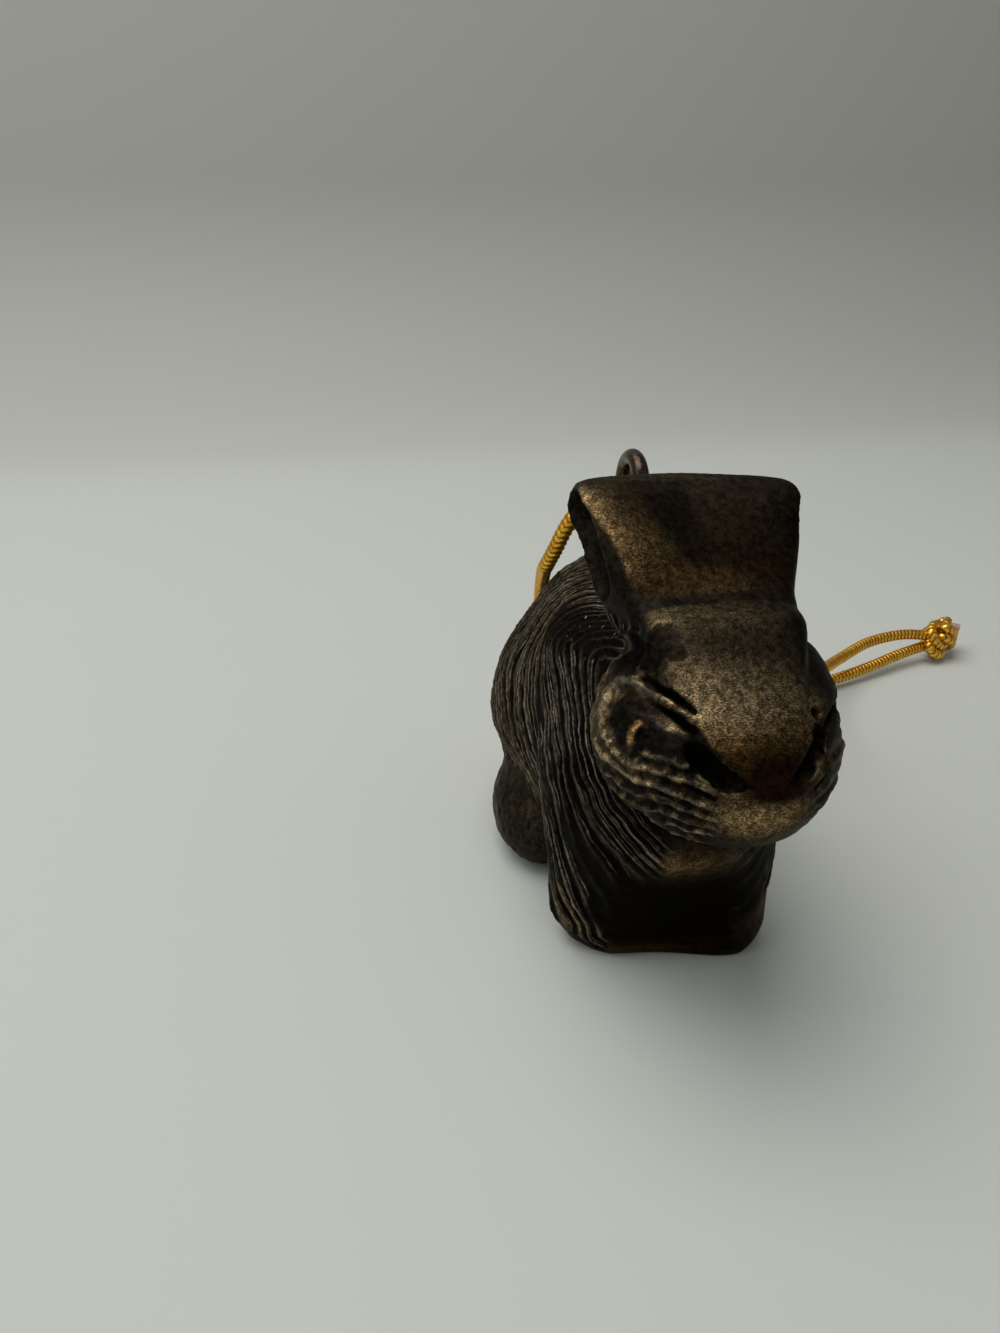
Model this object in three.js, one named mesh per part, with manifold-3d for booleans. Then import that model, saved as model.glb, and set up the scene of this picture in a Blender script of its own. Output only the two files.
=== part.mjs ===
// A small cast bronze rabbit bell that stands on its feet or hangs from a gold cord.
// Millimetres, +Z up. The rabbit faces -Y and its right side is at -X.
// The origin is on the standing plane, under the middle of the rabbit.
import * as THREE from "three";
import { mergeVertices } from "three/addons/utils/BufferGeometryUtils.js";
import Module from "manifold-3d";

const wasm = await Module();
wasm.setup();

// Gap between pieces that touch on the real object
const seatGap = 0.3;

// Mesh step of the blended body and head
const bodyStep = 2.3;
const headStep = 1.6;

// Slivers finer than this are dropped where cuts cross
const cutPrecision = 0.02;

// Trunk, an egg lying along Y that stands clear of the floor between the feet
const trunkHalfWidth = 13.7;
const trunkHalfLength = 25;
const trunkHalfHeight = 19.2;
const trunkCentreY = 5.15;
const bellyClearance = 3.4;
const trunkCentreZ = bellyClearance + trunkHalfHeight;
const trunkFrontY = trunkCentreY - trunkHalfLength;
const trunkRearY = trunkCentreY + trunkHalfLength;
const bodyBlend = 4.4;

// Stock below the standing plane, taken off flat to make the soles
const soleStock = 2;

// Haunches, hind feet and tail, counted from the rear of the trunk
const haunch = { x: 5.4, beforeRear: 15, z: 17, half: [10, 14, 13] };
const hindFoot = { x: 10.2, beforeRear: 19, z: 5.8, half: [5.6, 9.6, 6.9], blend: 1 };
const tail = { beforeRear: 0.6, z: 14, half: [4.6, 4, 4.8], blend: 1.2 };

// Shoulders, forelegs and chest, counted from the front of the trunk
const shoulder = { x: 6.2, behindFront: 10.5, z: 23, radius: 8.2 };
const foreFoot = { x: 7.6, behindFront: 11.4, z: 5, radius: 5.4 };
const legPanel = { behindFront: 11, halfWidth: 9, halfDepth: 4.6, height: 17, corner: 3.6, lean: 0.3, blend: 1.8 };
const chest = { behindFront: 7.4, z: 20.5, half: [10, 9.2, 8.4] };

// Head, counted from the front of the trunk
const head = { beforeFront: 0.8, z: 33, half: [12.2, 12, 9] };
const temple = { x: 4.5, beforeFront: 0.15, z: 36, half: [7, 7.5, 7.5], blend: 2 };
const muzzle = { beforeFront: 6.9, z: 31, half: [7.8, 6.4, 5.1], blend: 2.5 };
const nape = { behindFront: 10, z: 33, half: [8.4, 9, 8] };

// Smooth blaze from the nose over the forehead into the two joined ears:
// place ahead of the trunk's front, height, half width, thickness, how far the middle is dished
// and how much wider the slab is behind than in front
const blazeStations = [
  { ahead: 11.4, z: 32.2, halfWidth: 2.2, thick: 4.0, dish: 0, flare: 0 },
  { ahead: 13.0, z: 34.6, halfWidth: 2.7, thick: 5.0, dish: 0, flare: 0 },
  { ahead: 11.7, z: 36.8, halfWidth: 3.7, thick: 6.0, dish: 0, flare: 0 },
  { ahead: 8.9, z: 39.6, halfWidth: 5.4, thick: 7.0, dish: 0, flare: 0 },
  { ahead: 5.7, z: 43.2, halfWidth: 6.9, thick: 8.0, dish: 0, flare: 0 },
  { ahead: 2.6, z: 45.8, halfWidth: 7.9, thick: 8.6, dish: 0, flare: 0 },
  { ahead: -0.7, z: 46.5, halfWidth: 8.3, thick: 8.6, dish: 0.2, flare: 0.4 },
  { ahead: -2.7, z: 48.5, halfWidth: 9.1, thick: 8.2, dish: 0.9, flare: 1.2 },
  { ahead: -5.2, z: 51.7, halfWidth: 10.3, thick: 7.4, dish: 1.5, flare: 1.6 },
  { ahead: -8.5, z: 55.1, halfWidth: 11.8, thick: 6.2, dish: 1.8, flare: 1.6 },
];
const blazeSteps = 20;
const blazeSides = 24;
const blazeSquareness = 4;
const lipRadius = 2.6;
const lipSteps = 3;
const lipCrown = 0.6;

// Hollow in the outer side of each ear
const earHollow = { root: 4.6, tip: 5.4, depth: 3.2, half: 2.7 };

// Face
const eyeSocket = { ahead: 6.0, z: 36.5, proud: 2.1, half: [2.9, 3.6, 3.2] };
const eyeBall = { ahead: 6.0, z: 36.4, proud: -0.9, half: [1.1, 1.25, 1.3] };
const nosePit = { from: { x: 6.6, ahead: 9.3, z: 36.9 }, to: { x: 2.7, ahead: 12.7, z: 33.9 }, half: 1.05 };

// Bell: a round chamber under the back, its sound slot and the loose pellet
const bellWall = 4;
const chamberRadius = trunkHalfHeight - bellWall;
const chamberHalfWidth = trunkHalfWidth - bellWall;
const slotWidth = 5;
const slotLength = 19;
const slotY = trunkCentreY + 2;
const pelletRadius = 4.2;

// Hanger eye, a staple of round wire set lengthways in the back
const wireRadius = 1;
const eyeY = 9.1;
const eyeInnerWidth = 4.6;
const eyeStand = 12.6;
const eyeLegDepth = 2;

// Hanging cord and its knot
const cordRadius = 1;
const cordSides = 8;
const cordSteps = 80;
const knotCentre = new THREE.Vector3(80.2, 56.3, 4);
const knotTurns = 3;
const knotRadius = 3.6;
const knotTurn = THREE.MathUtils.degToRad(17);
const tailLength = 2.6;
const tailSpread = 2.3;

const bronze = new THREE.MeshStandardMaterial({ color: 0x2f271b, roughness: 0.45, metalness: 0.9 });
const darkWire = new THREE.MeshStandardMaterial({ color: 0x3b2f25, roughness: 0.35, metalness: 0.9 });
const brass = new THREE.MeshStandardMaterial({ color: 0x8d6c38, roughness: 0.4, metalness: 0.9 });
const goldBraid = new THREE.MeshStandardMaterial({ color: 0xc48a1c, roughness: 0.4, metalness: 0.6 });

// Signed distances, negative inside
function ellipsoid(p, x, y, z, half) {
  const a = (p.x - x) / half[0];
  const b = (p.y - y) / half[1];
  const c = (p.z - z) / half[2];
  const reach = Math.hypot(a, b, c);
  const slope = Math.hypot(a / half[0], b / half[1], c / half[2]);
  return slope < 1e-9 ? -Math.min(...half) : (reach * (reach - 1)) / slope;
}

function taperedLimb(p, top, foot) {
  const along = foot.at.clone().sub(top.at);
  const share = THREE.MathUtils.clamp(p.clone().sub(top.at).dot(along) / along.lengthSq(), 0, 1);
  const radius = THREE.MathUtils.lerp(top.radius, foot.radius, share);
  return p.distanceTo(top.at.clone().addScaledVector(along, share)) - radius;
}

function roundedBox(p, centre, half, corner) {
  const x = Math.abs(p.x - centre.x) - half.x + corner;
  const y = Math.abs(p.y - centre.y) - half.y + corner;
  const z = Math.abs(p.z - centre.z) - half.z + corner;
  const outside = Math.hypot(Math.max(x, 0), Math.max(y, 0), Math.max(z, 0));
  return outside + Math.min(Math.max(x, y, z), 0) - corner;
}

function blended(a, b, width) {
  const share = Math.max(width - Math.abs(a - b), 0) / width;
  return Math.min(a, b) - (share * share * width) / 4;
}

// Trunk, legs, feet, chest and tail as one blended form, the same on both sides
function bodyField(point) {
  const p = new THREE.Vector3(Math.abs(point.x), point.y, point.z);
  const shoulderTop = {
    at: new THREE.Vector3(shoulder.x, trunkFrontY + shoulder.behindFront, shoulder.z),
    radius: shoulder.radius,
  };
  const legFoot = {
    at: new THREE.Vector3(foreFoot.x, trunkFrontY + foreFoot.behindFront, foreFoot.z),
    radius: foreFoot.radius,
  };
  const panelMiddle = (legPanel.height - soleStock) / 2;
  const panelCentre = new THREE.Vector3(0, trunkFrontY + legPanel.behindFront, panelMiddle);
  const panelHalfHeight = (legPanel.height + soleStock) / 2;
  const panelHalf = new THREE.Vector3(legPanel.halfWidth, legPanel.halfDepth, panelHalfHeight);
  const trunkHalf = [trunkHalfWidth, trunkHalfLength, trunkHalfHeight];
  let d = ellipsoid(p, 0, trunkCentreY, trunkCentreZ, trunkHalf);
  d = blended(d, ellipsoid(p, haunch.x, trunkRearY - haunch.beforeRear, haunch.z, haunch.half), bodyBlend);
  d = blended(d, taperedLimb(p, shoulderTop, legFoot), bodyBlend);
  d = blended(d, ellipsoid(p, 0, trunkFrontY + nape.behindFront, nape.z, nape.half), bodyBlend);
  d = blended(d, ellipsoid(p, 0, trunkFrontY + chest.behindFront, chest.z, chest.half), bodyBlend);
  const upright = p.clone().setY(p.y + legPanel.lean * p.z);
  d = blended(d, roundedBox(upright, panelCentre, panelHalf, legPanel.corner), legPanel.blend);
  const footY = trunkRearY - hindFoot.beforeRear;
  d = blended(d, ellipsoid(p, hindFoot.x, footY, hindFoot.z, hindFoot.half), hindFoot.blend);
  return blended(d, ellipsoid(p, 0, trunkRearY - tail.beforeRear, tail.z, tail.half), tail.blend);
}

// Cheeks, temples and muzzle
function headField(p) {
  const skull = ellipsoid(p, 0, trunkFrontY - head.beforeFront, head.z, head.half);
  const snout = ellipsoid(p, 0, trunkFrontY - muzzle.beforeFront, muzzle.z, muzzle.half);
  const outside = new THREE.Vector3(Math.abs(p.x), p.y, p.z);
  const brow = ellipsoid(outside, temple.x, trunkFrontY - temple.beforeFront, temple.z, temple.half);
  return blended(blended(skull, brow, temple.blend), snout, muzzle.blend);
}

// The surface where a field is zero: one point in each grid cell that the surface crosses
function surfaceOf(field, low, high, step) {
  const cells = high.clone().sub(low).divideScalar(step).ceil().addScalar(4);
  const start = low.clone().add(high).addScaledVector(cells, -step).divideScalar(2);
  const [nx, ny, nz] = [cells.x + 1, cells.y + 1, cells.z + 1];
  const index = (i, j, k) => i + nx * (j + ny * k);
  const place = (i, j, k) => new THREE.Vector3(i, j, k).multiplyScalar(step).add(start);
  const values = new Float64Array(nx * ny * nz);
  for (let k = 0; k < nz; k++)
    for (let j = 0; j < ny; j++)
      for (let i = 0; i < nx; i++) values[index(i, j, k)] = field(place(i, j, k));

  fillNarrowGaps(values, [nx, ny, nz], index);

  const points = [];
  const pointOfCell = new Map();
  for (let k = 0; k < cells.z; k++)
    for (let j = 0; j < cells.y; j++)
      for (let i = 0; i < cells.x; i++) {
        const middle = cellCrossing(i, j, k);
        if (!middle) continue;
        pointOfCell.set(index(i, j, k), points.length);
        points.push(settled(field, middle, step));
      }

  function cellCrossing(i, j, k) {
    const sum = new THREE.Vector3();
    let crossings = 0;
    for (let corner = 0; corner < 8; corner++)
      for (let axis = 0; axis < 3; axis++) {
        if (corner & (1 << axis)) continue;
        const from = [i + (corner & 1), j + ((corner >> 1) & 1), k + ((corner >> 2) & 1)];
        const to = from.map((value, n) => value + (n === axis ? 1 : 0));
        const a = values[index(...from)];
        const b = values[index(...to)];
        if (a < 0 === b < 0) continue;
        sum.add(place(...from).lerp(place(...to), a / (a - b)));
        crossings++;
      }
    return crossings ? sum.divideScalar(crossings) : null;
  }

  const triangles = [];
  for (let k = 1; k < cells.z; k++)
    for (let j = 1; j < cells.y; j++)
      for (let i = 1; i < cells.x; i++)
        for (let axis = 0; axis < 3; axis++) {
          const here = [i, j, k];
          const next = here.map((value, n) => value + (n === axis ? 1 : 0));
          const inside = values[index(...here)] < 0;
          if (inside === values[index(...next)] < 0) continue;
          const [u, v] = [(axis + 1) % 3, (axis + 2) % 3];
          const ring = [[0, 0], [1, 0], [1, 1], [0, 1]].map(([du, dv]) => {
            const cell = [...here];
            cell[u] -= du;
            cell[v] -= dv;
            return pointOfCell.get(index(...cell));
          });
          if (!inside) ring.reverse();
          const [a, b, c, d] = ring;
          const shortAC = points[a].distanceTo(points[c]) < points[b].distanceTo(points[d]);
          triangles.push(...(shortAC ? [a, b, c, a, c, d] : [a, b, d, b, c, d]));
        }

  const geometry = new THREE.BufferGeometry();
  const flat = points.flatMap((p) => p.toArray());
  geometry.setAttribute("position", new THREE.Float32BufferAttribute(flat, 3));
  geometry.setIndex(triangles);
  return geometry;
}

// Fills gaps narrower than the grid step, so that the skin meets itself nowhere
function fillNarrowGaps(values, size, index) {
  const filled = -0.02;
  const fill = (nodes) => {
    const open = nodes.filter((node) => values[node] >= 0);
    values[open.reduce((best, node) => (values[node] < values[best] ? node : best))] = filled;
  };
  let changed = true;
  while (changed) {
    changed = false;
    for (let k = 0; k + 1 < size[2]; k++)
      for (let j = 0; j + 1 < size[1]; j++)
        for (let i = 0; i + 1 < size[0]; i++) {
          const cornerNode = (_, n) => index(i + (n & 1), j + ((n >> 1) & 1), k + (n >> 2));
          const corner = Array.from({ length: 8 }, cornerNode);
          const solid = corner.map((node) => values[node] < 0);
          const count = solid.filter(Boolean).length;
          if (count === 0 || count === 8) continue;
          const crossed = [[0, 1, 2, 3], [0, 1, 4, 5], [0, 2, 4, 6]].find(
            ([a, b, c, d]) => solid[a] === solid[d] && solid[b] === solid[c] && solid[a] !== solid[b],
          );
          const far = [0, 1, 2, 3].find((n) => {
            const pair = solid[n] === solid[7 - n];
            return pair && (count === 2 || count === 6) && solid[n] === (count === 2);
          });
          if (!crossed && far === undefined) continue;
          fill(crossed ? crossed.map((n) => corner[n]) : corner);
          changed = true;
        }
  }
}

// Moves a point along the field's slope until it lies on the surface
function settled(field, point, step) {
  const nudge = step / 20;
  const p = point.clone();
  for (let turn = 0; turn < 3; turn++) {
    const value = field(p);
    const slope = new THREE.Vector3(
      field(new THREE.Vector3(p.x + nudge, p.y, p.z)) - value,
      field(new THREE.Vector3(p.x, p.y + nudge, p.z)) - value,
      field(new THREE.Vector3(p.x, p.y, p.z + nudge)) - value,
    ).divideScalar(nudge);
    p.addScaledVector(slope, -value / Math.max(slope.lengthSq(), 0.25));
  }
  return p.distanceTo(point) < step ? p : point;
}

// Between a three.js geometry and a solid that can be joined and cut
function solidOf(geometry) {
  const bare = geometry.clone();
  bare.deleteAttribute("normal");
  bare.deleteAttribute("uv");
  const merged = mergeVertices(bare, 1e-4);
  return new wasm.Manifold(
    new wasm.Mesh({
      numProp: 3,
      vertProperties: new Float32Array(merged.attributes.position.array),
      triVerts: new Uint32Array(merged.index.array),
    }),
  );
}

function geometryOf(solid) {
  const mesh = solid.getMesh();
  const geometry = new THREE.BufferGeometry();
  geometry.setAttribute("position", new THREE.BufferAttribute(mesh.vertProperties, 3));
  geometry.setIndex(new THREE.BufferAttribute(mesh.triVerts, 1));
  geometry.computeVertexNormals();
  return geometry;
}

// A closed skin over rings of points, with a flat cap on the first and last ring
function loft(rings) {
  const sides = rings[0].length;
  const points = rings.flat();
  const triangles = [];
  for (let r = 0; r + 1 < rings.length; r++)
    for (let s = 0; s < sides; s++) {
      const a = r * sides + s;
      const b = r * sides + ((s + 1) % sides);
      triangles.push(a, b, b + sides, a, b + sides, a + sides);
    }
  for (const [ring, turned] of [[0, true], [rings.length - 1, false]]) {
    const middle = points.length;
    const centre = new THREE.Vector3();
    rings[ring].forEach((p) => centre.addScaledVector(p, 1 / sides));
    points.push(centre);
    for (let s = 0; s < sides; s++) {
      const a = ring * sides + s;
      const b = ring * sides + ((s + 1) % sides);
      triangles.push(...(turned ? [b, a, middle] : [a, b, middle]));
    }
  }
  const geometry = new THREE.BufferGeometry();
  const flat = points.flatMap((p) => p.toArray());
  geometry.setAttribute("position", new THREE.Float32BufferAttribute(flat, 3));
  geometry.setIndex(triangles);
  return geometry;
}

const mirrored = (make) => [-1, 1].map(make);

// Blaze and ears: one slab whose front face is the curve through the stations
function blazeSolid() {
  const front = new THREE.CatmullRomCurve3(
    blazeStations.map((s) => new THREE.Vector3(s.halfWidth, trunkFrontY - s.ahead, s.z)),
  );
  const form = new THREE.CatmullRomCurve3(blazeStations.map((s) => new THREE.Vector3(s.thick, s.dish, s.flare)));
  const rings = [];
  const addRing = (share, inset, onward) => {
    const at = front.getPoint(share);
    const { x: thick, y: dish, z: flare } = form.getPoint(share);
    const way = front.getTangent(share).setX(0).normalize();
    const back = new THREE.Vector3(0, way.z, -way.y);
    const halfWidth = at.x - inset;
    const halfThick = thick / 2 - inset;
    rings.push(
      Array.from({ length: blazeSides }, (_, s) => {
        const angle = (s / blazeSides) * 2 * Math.PI;
        const depth = thick / 2 + squared(Math.sin(angle)) * halfThick;
        const widening = (flare * depth) / thick;
        const side = squared(Math.cos(angle)) * (halfWidth + widening);
        const middle = 1 - (side / (at.x + widening)) ** 2;
        const rise = onward + (lipCrown * middle * onward) / lipRadius;
        const point = new THREE.Vector3(side, at.y, at.z);
        return point.addScaledVector(back, depth + dish * middle).addScaledVector(way, rise);
      }),
    );
  };
  for (let n = 0; n <= blazeSteps; n++) addRing(n / blazeSteps, 0, 0);
  for (let n = 1; n <= lipSteps; n++) {
    const turn = (n / lipSteps) * (Math.PI / 2);
    addRing(1, lipRadius * (1 - Math.cos(turn)), lipRadius * Math.sin(turn));
  }
  return solidOf(loft(rings));
}

const squared = (value) => Math.sign(value) * Math.abs(value) ** (2 / blazeSquareness);

// A ball squashed to three half sizes, turned and placed
function oval(half, matrix, rows = 9) {
  const ball = new THREE.SphereGeometry(1, rows * 2, rows).scale(...half);
  return solidOf(ball.applyMatrix4(matrix));
}

const placed = (x, y, z) => new THREE.Matrix4().setPosition(x, y, z);

// The leaf-shaped hollow along the outer side of one ear, from its root to its tip
function earHollowSolid(side) {
  const [root, , tip] = blazeStations.slice(-3);
  const end = (station, sink) => {
    const y = trunkFrontY - station.ahead + station.thick / 2;
    const x = station.halfWidth + station.flare / 2 + sink;
    return new THREE.Vector3(side * x, y, station.z - station.thick / 4);
  };
  const low = end(root, earHollow.depth / 4);
  const high = end(tip, earHollow.depth / 4);
  const along = high.clone().sub(low);
  const out = new THREE.Vector3(side, 0, 0).projectOnPlane(along).normalize();
  const way = along.clone().normalize();
  const across = out.clone().cross(way);
  const centre = low.clone().lerp(high, 0.5);
  centre.addScaledVector(way, (earHollow.tip - earHollow.root) / 2);
  const half = [earHollow.depth, (along.length() + earHollow.root) / 2, earHollow.half];
  return oval(half, new THREE.Matrix4().makeBasis(out, way, across).setPosition(centre));
}

// Half width of the head at a height and a place along it
function faceHalfWidth(y, z) {
  const p = new THREE.Vector3(0, y, z);
  const outward = 0.05;
  while (headField(p) < 0) p.x += outward;
  return p.x;
}

function faceDetail(side, detail) {
  const y = trunkFrontY - detail.ahead;
  const x = faceHalfWidth(y, detail.z) + detail.proud;
  return oval(detail.half, placed(side * x, y, detail.z), 7);
}

// Hollow beside the nose, under the edge of the blaze
function nosePitSolid(side) {
  const end = (at) => new THREE.Vector3(side * at.x, trunkFrontY - at.ahead, at.z);
  const from = end(nosePit.from);
  const to = end(nosePit.to);
  const way = to.clone().sub(from);
  const out = new THREE.Vector3(side, -1, 0).projectOnPlane(way).normalize();
  const long = way.clone().normalize();
  const basis = new THREE.Matrix4().makeBasis(out, long, out.clone().cross(long));
  return oval([nosePit.half, way.length() / 2, nosePit.half], basis.setPosition(from.lerp(to, 0.5)), 7);
}

// Round chamber, wider along the body than across it
function chamberSolid() {
  const half = [chamberHalfWidth, chamberRadius, chamberRadius];
  return oval(half, placed(0, trunkCentreY, trunkCentreZ), 14);
}

// Slot through the belly into the chamber, with round ends
function slotSolid() {
  const straight = slotLength / 2 - slotWidth / 2;
  const outline = new THREE.Shape();
  outline.absarc(0, straight, slotWidth / 2, 0, Math.PI);
  outline.absarc(0, -straight, slotWidth / 2, Math.PI, 2 * Math.PI);
  const depth = trunkCentreZ - chamberRadius / 2;
  const cut = new THREE.ExtrudeGeometry(outline, { depth, bevelEnabled: false, curveSegments: 8 });
  return solidOf(cut.translate(0, slotY, 0));
}

// Top of the back above a point of the centre line
function backHeight(y) {
  const p = new THREE.Vector3(0, y, trunkCentreZ);
  const rise = 0.05;
  while (bodyField(p) < 0) p.z += rise;
  return p.z;
}

const eyeLegSpread = eyeInnerWidth / 2 + wireRadius;
const eyeTopZ = backHeight(eyeY) + eyeStand;
const eyeArchZ = eyeTopZ - wireRadius - eyeLegSpread;
const eyeFootZ = backHeight(eyeY + eyeLegSpread) - eyeLegDepth;

function eyeLegHole(end) {
  const height = eyeArchZ - eyeFootZ + seatGap;
  const hole = new THREE.CylinderGeometry(wireRadius + seatGap, wireRadius + seatGap, height, 20);
  hole.rotateX(Math.PI / 2);
  return solidOf(hole.translate(0, eyeY + end * eyeLegSpread, eyeFootZ - seatGap + height / 2));
}

// Rabbit, ears and feet in one hollow casting
function castingGeometry() {
  const bodyLow = new THREE.Vector3(-21, trunkFrontY - 12, -2 * soleStock);
  const bodyHigh = new THREE.Vector3(21, trunkRearY + 6, trunkCentreZ + trunkHalfHeight + 5);
  const headReach = new THREE.Vector3(...head.half);
  headReach.add(new THREE.Vector3(3, muzzle.half[1] + 3, 6));
  const headCentre = new THREE.Vector3(0, trunkFrontY - head.beforeFront, head.z);
  const headLow = headCentre.clone().sub(headReach);
  const headHigh = headCentre.clone().add(headReach);
  const belowFloor = new THREE.BoxGeometry(200, 200, 20).translate(0, 0, -10);
  const body = solidOf(surfaceOf(bodyField, bodyLow, bodyHigh, bodyStep));
  const face = solidOf(surfaceOf(headField, headLow, headHigh, headStep));
  const joined = body.add(face).add(blazeSolid());
  const cuts = [
    ...mirrored(earHollowSolid),
    ...mirrored((side) => faceDetail(side, eyeSocket)),
    ...mirrored(nosePitSolid),
  ];
  const carved = cuts.reduce((whole, cut) => whole.subtract(cut), joined);
  const balls = mirrored((side) => faceDetail(side, eyeBall));
  const withEyes = balls.reduce((whole, ball) => whole.add(ball), carved);
  const hollows = [chamberSolid(), slotSolid(), ...mirrored(eyeLegHole), solidOf(belowFloor)];
  const finished = hollows.reduce((whole, cut) => whole.subtract(cut), withEyes);
  return geometryOf(finished.simplify(cutPrecision));
}

// Round section swept along a curve, closed at both ends
function sweptRod(curve, radius, sides, steps) {
  const section = new THREE.Shape(
    Array.from({ length: sides }, (_, s) => {
      const angle = (s / sides) * 2 * Math.PI;
      return new THREE.Vector2(Math.cos(angle), Math.sin(angle)).multiplyScalar(radius);
    }),
  );
  return new THREE.ExtrudeGeometry(section, { steps, extrudePath: curve, bevelEnabled: false });
}

function hangerEyeGeometry() {
  const path = new THREE.CurvePath();
  const leg = (end, fromZ, toZ) => {
    const y = eyeY + end * eyeLegSpread;
    return new THREE.LineCurve3(new THREE.Vector3(0, y, fromZ), new THREE.Vector3(0, y, toZ));
  };
  const arch = new THREE.CubicBezierCurve3();
  const pull = (eyeLegSpread * 4) / 3;
  arch.v0.set(0, eyeY - eyeLegSpread, eyeArchZ);
  arch.v1.set(0, eyeY - eyeLegSpread, eyeArchZ + pull);
  arch.v2.set(0, eyeY + eyeLegSpread, eyeArchZ + pull);
  arch.v3.set(0, eyeY + eyeLegSpread, eyeArchZ);
  path.add(leg(-1, eyeFootZ, eyeArchZ));
  path.add(arch);
  path.add(leg(1, eyeArchZ, eyeFootZ));
  return sweptRod(path, wireRadius, 14, 36);
}

function pelletGeometry() {
  return new THREE.SphereGeometry(pelletRadius, 24, 16);
}

// The cord lies in one piece from the knot, through the eye and back to the knot
const cordRoute = [
  [76.7, 55.4, 5.2],
  [71, 55, 5.9],
  [63, 52.8, 6],
  [54.6, 47.6, 5.9],
  [45.2, 38.4, 8.4],
  [36.8, 28.4, 14.4],
  [30.6, 20.6, 22.2],
  [25.2, 15.2, 30.6],
  [17.5, 11.2, 40.6],
  [9.6, 9.6, 47.4],
  [3.6, 9.1, 50.1],
  [0, 9.1, 50.7],
  [-3.2, 9.3, 50.1],
  [-5, 10, 48.4],
  [-6.8, 11.4, 44.8],
  [-7.8, 13.2, 41.3],
  [-8.3, 15.6, 38.4],
  [-7.8, 18.4, 37.1],
  [-7.2, 21.4, 35.5],
  [-6.6, 24.5, 33.3],
  [-6, 27.7, 29.8],
  [-5.5, 30.5, 24.9],
  [-5.3, 32.4, 18],
  [-5.1, 34, 11.4],
  [-4.7, 35.2, 6],
  [-3.4, 37.4, 2.6],
  [0, 39.8, 1.3],
  [8, 42.6, 1.3],
  [19, 43.8, 1.3],
  [32, 44.6, 1.3],
  [44, 45.8, 1.4],
  [53, 47.4, 1.6],
  [62, 50.2, 2.1],
  [70, 53.2, 2.7],
  [76.7, 55.6, 2.9],
].map((point) => new THREE.Vector3(...point));

function cordGeometry() {
  return sweptRod(new THREE.CatmullRomCurve3(cordRoute), cordRadius, cordSides, cordSteps);
}

// Overhand knot drawn tight: turns of cord side by side, with the two cut ends beyond them
function knotGeometry() {
  const halfLength = knotTurns * cordRadius;
  const steps = 4;
  const profile = [new THREE.Vector2(0, -halfLength)];
  for (let turn = 0; turn < knotTurns; turn++)
    for (let n = 0; n <= steps; n++) {
      const angle = -Math.PI / 2 + ((n + 0.5) / (steps + 1)) * Math.PI;
      const middle = (2 * turn + 1 - knotTurns) * cordRadius;
      const crown = turn * 2 === knotTurns - 1 ? knotRadius : knotRadius - cordRadius / 2;
      const out = crown - cordRadius + Math.cos(angle) * cordRadius;
      profile.push(new THREE.Vector2(out, middle + Math.sin(angle) * cordRadius));
    }
  profile.push(new THREE.Vector2(0, halfLength));
  const ends = mirrored((side) => {
    const from = new THREE.Vector3((side * tailSpread) / 2, halfLength - cordRadius, 0);
    const to = new THREE.Vector3(side * tailSpread, halfLength + tailLength, 0);
    return solidOf(sweptRod(new THREE.LineCurve3(from, to), cordRadius, cordSides, 1));
  });
  const wraps = solidOf(new THREE.LatheGeometry(profile, 18));
  return geometryOf(ends.reduce((whole, end) => whole.add(end), wraps).simplify(cutPrecision));
}

function piece(name, geometry, material) {
  const mesh = new THREE.Mesh(geometry, material);
  mesh.name = name;
  return mesh;
}

const rabbitBell = new THREE.Group();
rabbitBell.add(piece("rabbit_casting", castingGeometry(), bronze));
rabbitBell.add(piece("hanger_eye", hangerEyeGeometry(), darkWire));

const pellet = piece("bell_pellet", pelletGeometry(), brass);
pellet.position.set(0, trunkCentreY, trunkCentreZ - chamberRadius + pelletRadius + seatGap);
rabbitBell.add(pellet);

rabbitBell.add(piece("hanging_cord", cordGeometry(), goldBraid));

const knot = piece("cord_knot", knotGeometry(), goldBraid);
knot.position.copy(knotCentre);
knot.rotation.z = knotTurn - Math.PI / 2;
rabbitBell.add(knot);

export default rabbitBell;
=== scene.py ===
import math
from types import SimpleNamespace

import bmesh
import bpy
import numpy as np
from mathutils import Matrix, Vector
from numpy.linalg import norm


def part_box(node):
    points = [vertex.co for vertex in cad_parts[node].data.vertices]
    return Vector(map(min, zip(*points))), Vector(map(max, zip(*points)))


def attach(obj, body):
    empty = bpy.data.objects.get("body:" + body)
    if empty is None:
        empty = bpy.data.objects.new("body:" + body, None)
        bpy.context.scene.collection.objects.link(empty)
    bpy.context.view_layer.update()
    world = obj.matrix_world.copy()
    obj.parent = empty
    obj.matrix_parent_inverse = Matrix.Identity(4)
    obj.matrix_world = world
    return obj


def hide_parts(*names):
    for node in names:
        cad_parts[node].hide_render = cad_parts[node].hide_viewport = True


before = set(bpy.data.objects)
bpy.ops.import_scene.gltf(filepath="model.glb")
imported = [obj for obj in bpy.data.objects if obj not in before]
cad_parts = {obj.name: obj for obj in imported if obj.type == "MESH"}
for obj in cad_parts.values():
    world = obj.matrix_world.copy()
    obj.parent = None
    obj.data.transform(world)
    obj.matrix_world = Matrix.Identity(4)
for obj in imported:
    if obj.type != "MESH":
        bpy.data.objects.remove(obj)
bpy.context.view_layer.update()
mm = 0.001
scene = bpy.context.scene
print("frame loaded")

# camera, fitted to the photo's standing plane and verticals
cameraSet = {"eye": (-36.636, -99.601, 79.6), "look": (0.1729, 0.8897, -0.4226), "lens": 26.683}


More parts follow.
